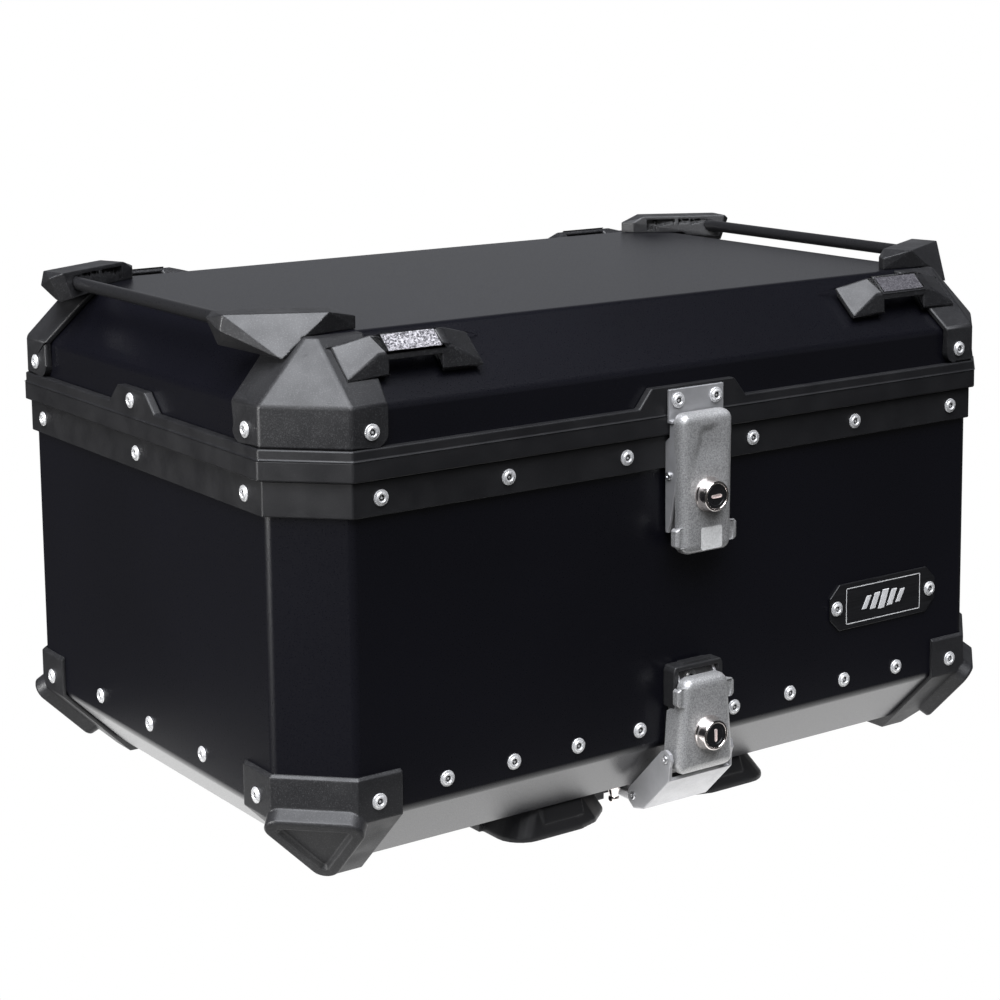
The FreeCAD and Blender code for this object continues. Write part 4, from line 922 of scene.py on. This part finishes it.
for node in ("stay_lower_left", "stay_lower_right", "stay_upper_left", "stay_upper_right"):
    refine(node, 0.35 * MM, 2)
for node in ("stay_pins_body", "stay_pins_lid", "rivet_spacers", "bracket_screws", "catch_bar",
             "top_lock_cam", "bottom_lock_cam"):
    refine(node, 0.3 * MM, 2, shortest=0.2 * MM, angle=40.0)


# ---------------------------------------------------------------- stage, light, camera

FLOOR_NEAR = 1.65
FLOOR_REACH = 0.14
FLOOR_FAR = 0.05


class Graph:
    """Short calls for building a node tree."""

    def __init__(self, tree):
        self.tree = tree
        tree.nodes.clear()

    def node(self, kind, **values):
        made = self.tree.nodes.new(kind)
        for key, value in values.items():
            target = made.inputs[key.replace("_", " ")]
            if hasattr(value, "is_output"):
                self.tree.links.new(value, target)
            else:
                target.default_value = value
        return made

    def math(self, operation, first, second=0.0):
        made = self.tree.nodes.new("ShaderNodeMath")
        made.operation = operation
        for slot, value in enumerate((first, second)):
            if hasattr(value, "is_output"):
                self.tree.links.new(value, made.inputs[slot])
            else:
                made.inputs[slot].default_value = value
        return made.outputs[0]

    def ramp(self, value, low, high, to_low, to_high):
        made = self.tree.nodes.new("ShaderNodeMapRange")
        made.interpolation_type = "SMOOTHSTEP"
        self.tree.links.new(value, made.inputs["Value"])
        for key, number in (("From Min", low), ("From Max", high), ("To Min", to_low),
                            ("To Max", to_high)):
            made.inputs[key].default_value = number
        return made.outputs["Result"]


def floor_material():
    """Pale floor: white to the camera; to the case it glows close by and is dim further out."""
    material = bpy.data.materials.new("floor")
    material.use_nodes = True
    g = Graph(material.node_tree)
    white = g.node("ShaderNodeEmission", Strength=1.0)
    place = g.node("ShaderNodeTexCoord").outputs["Object"]
    parts = g.node("ShaderNodeSeparateXYZ", Vector=place)
    gaps = []
    for axis, half in (("X", 0.23), ("Y", 0.15)):
        beyond = g.math("SUBTRACT", g.math("ABSOLUTE", parts.outputs[axis]), half)
        gaps.append(g.math("MAXIMUM", beyond, 0.0))
    distance = g.math("SQRT", g.math("ADD", g.math("POWER", gaps[0], 2.0),
                                     g.math("POWER", gaps[1], 2.0)))
    near = g.ramp(distance, 0.02, FLOOR_REACH, FLOOR_NEAR, 0.0)
    glow = g.math("ADD", near, FLOOR_FAR)
    lit = g.node("ShaderNodeEmission", Strength=glow)
    path = g.node("ShaderNodeLightPath")
    mix = g.tree.nodes.new("ShaderNodeMixShader")
    g.tree.links.new(path.outputs["Is Camera Ray"], mix.inputs[0])
    g.tree.links.new(lit.outputs[0], mix.inputs[1])
    g.tree.links.new(white.outputs[0], mix.inputs[2])
    output = g.tree.nodes.new("ShaderNodeOutputMaterial")
    g.tree.links.new(mix.outputs[0], output.inputs["Surface"])
    return material


bm = bmesh.new()
bmesh.ops.create_grid(bm, x_segments=1, y_segments=1, size=12.0)
floor = as_object("floor", bm, floor_material())
floor.location.z = cad_low.z - 0.0002

# (direction, cosine where the patch starts, cosine where it is full, strength)
SKY = [
    ((0.58, 0.80, 0.06), 0.80, 0.97, 0.32),
    ((-0.28, -0.32, 0.88), 0.80, 0.94, 10.0),
    ((0.58, -0.80, 0.05), 0.86, 0.98, 0.10),
    ((-0.80, -0.58, 0.05), 0.88, 0.98, 0.14),
]
BASE_SKY = 0.012


def build_world():
    """White to the camera; to the case a dark studio with a few soft bright patches."""
    world = bpy.data.worlds.new("studio")
    scene.world = world
    world.use_nodes = True
    g = Graph(world.node_tree)
    place = g.node("ShaderNodeTexCoord").outputs["Generated"]
    total = None
    for direction, start, full, strength in SKY:
        dot = g.tree.nodes.new("ShaderNodeVectorMath")
        dot.operation = "DOT_PRODUCT"
        g.tree.links.new(place, dot.inputs[0])
        dot.inputs[1].default_value = Vector(direction).normalized()
        patch = g.ramp(dot.outputs["Value"], start, full, 0.0, strength)
        total = patch if total is None else g.math("ADD", total, patch)
    total = g.math("ADD", total, BASE_SKY)
    felt = g.node("ShaderNodeBackground", Color=(0.93, 0.95, 1.0, 1), Strength=total)
    seen = g.node("ShaderNodeBackground", Color=(1, 1, 1, 1), Strength=1.0)
    path = g.node("ShaderNodeLightPath")
    mix = g.tree.nodes.new("ShaderNodeMixShader")
    g.tree.links.new(path.outputs["Is Camera Ray"], mix.inputs[0])
    g.tree.links.new(felt.outputs[0], mix.inputs[1])
    g.tree.links.new(seen.outputs[0], mix.inputs[2])
    output = g.tree.nodes.new("ShaderNodeOutputWorld")
    g.tree.links.new(mix.outputs[0], output.inputs["Surface"])


build_world()


def softbox(name, place, target, width, height, power):
    light = bpy.data.lights.new(name, "AREA")
    light.shape = "RECTANGLE"
    light.size = width
    light.size_y = height
    light.energy = power
    item = bpy.data.objects.new(name, light)
    scene.collection.objects.link(item)
    item.location = place
    item.rotation_euler = (Vector(target) - Vector(place)).to_track_quat("-Z", "Y").to_euler()


middle = (cad_low + cad_high) / 2
softbox("strip_left", (-2.2, 0.10, 0.25), middle, 0.08, 1.3, 60.0)
softbox("front_fill", (-0.75, -1.75, 1.1), middle, 0.8, 0.8, 7.0)

camera_data = bpy.data.cameras.new("camera")
camera = bpy.data.objects.new("camera", camera_data)
scene.collection.objects.link(camera)
scene.camera = camera
camera_data.sensor_width = 36.0
camera_data.lens = 83.41
camera_data.shift_x = -0.0535
camera_data.shift_y = -0.188
azimuth = math.radians(35.87)
elevation = math.radians(8.47)
roll = math.radians(-0.4)
forward = Vector((math.sin(azimuth) * math.cos(elevation), math.cos(azimuth) * math.cos(elevation),
                  -math.sin(elevation)))
right = forward.cross(Vector((0, 0, 1))).normalized()
up = right.cross(forward)
right, up = (right * math.cos(roll) + up * math.sin(roll),
             up * math.cos(roll) - right * math.sin(roll))
camera_place = (-0.857, -1.235, 0.521)
camera.matrix_world = Matrix.Translation(camera_place) @ Matrix(
    (right, up, -forward)).transposed().to_4x4()
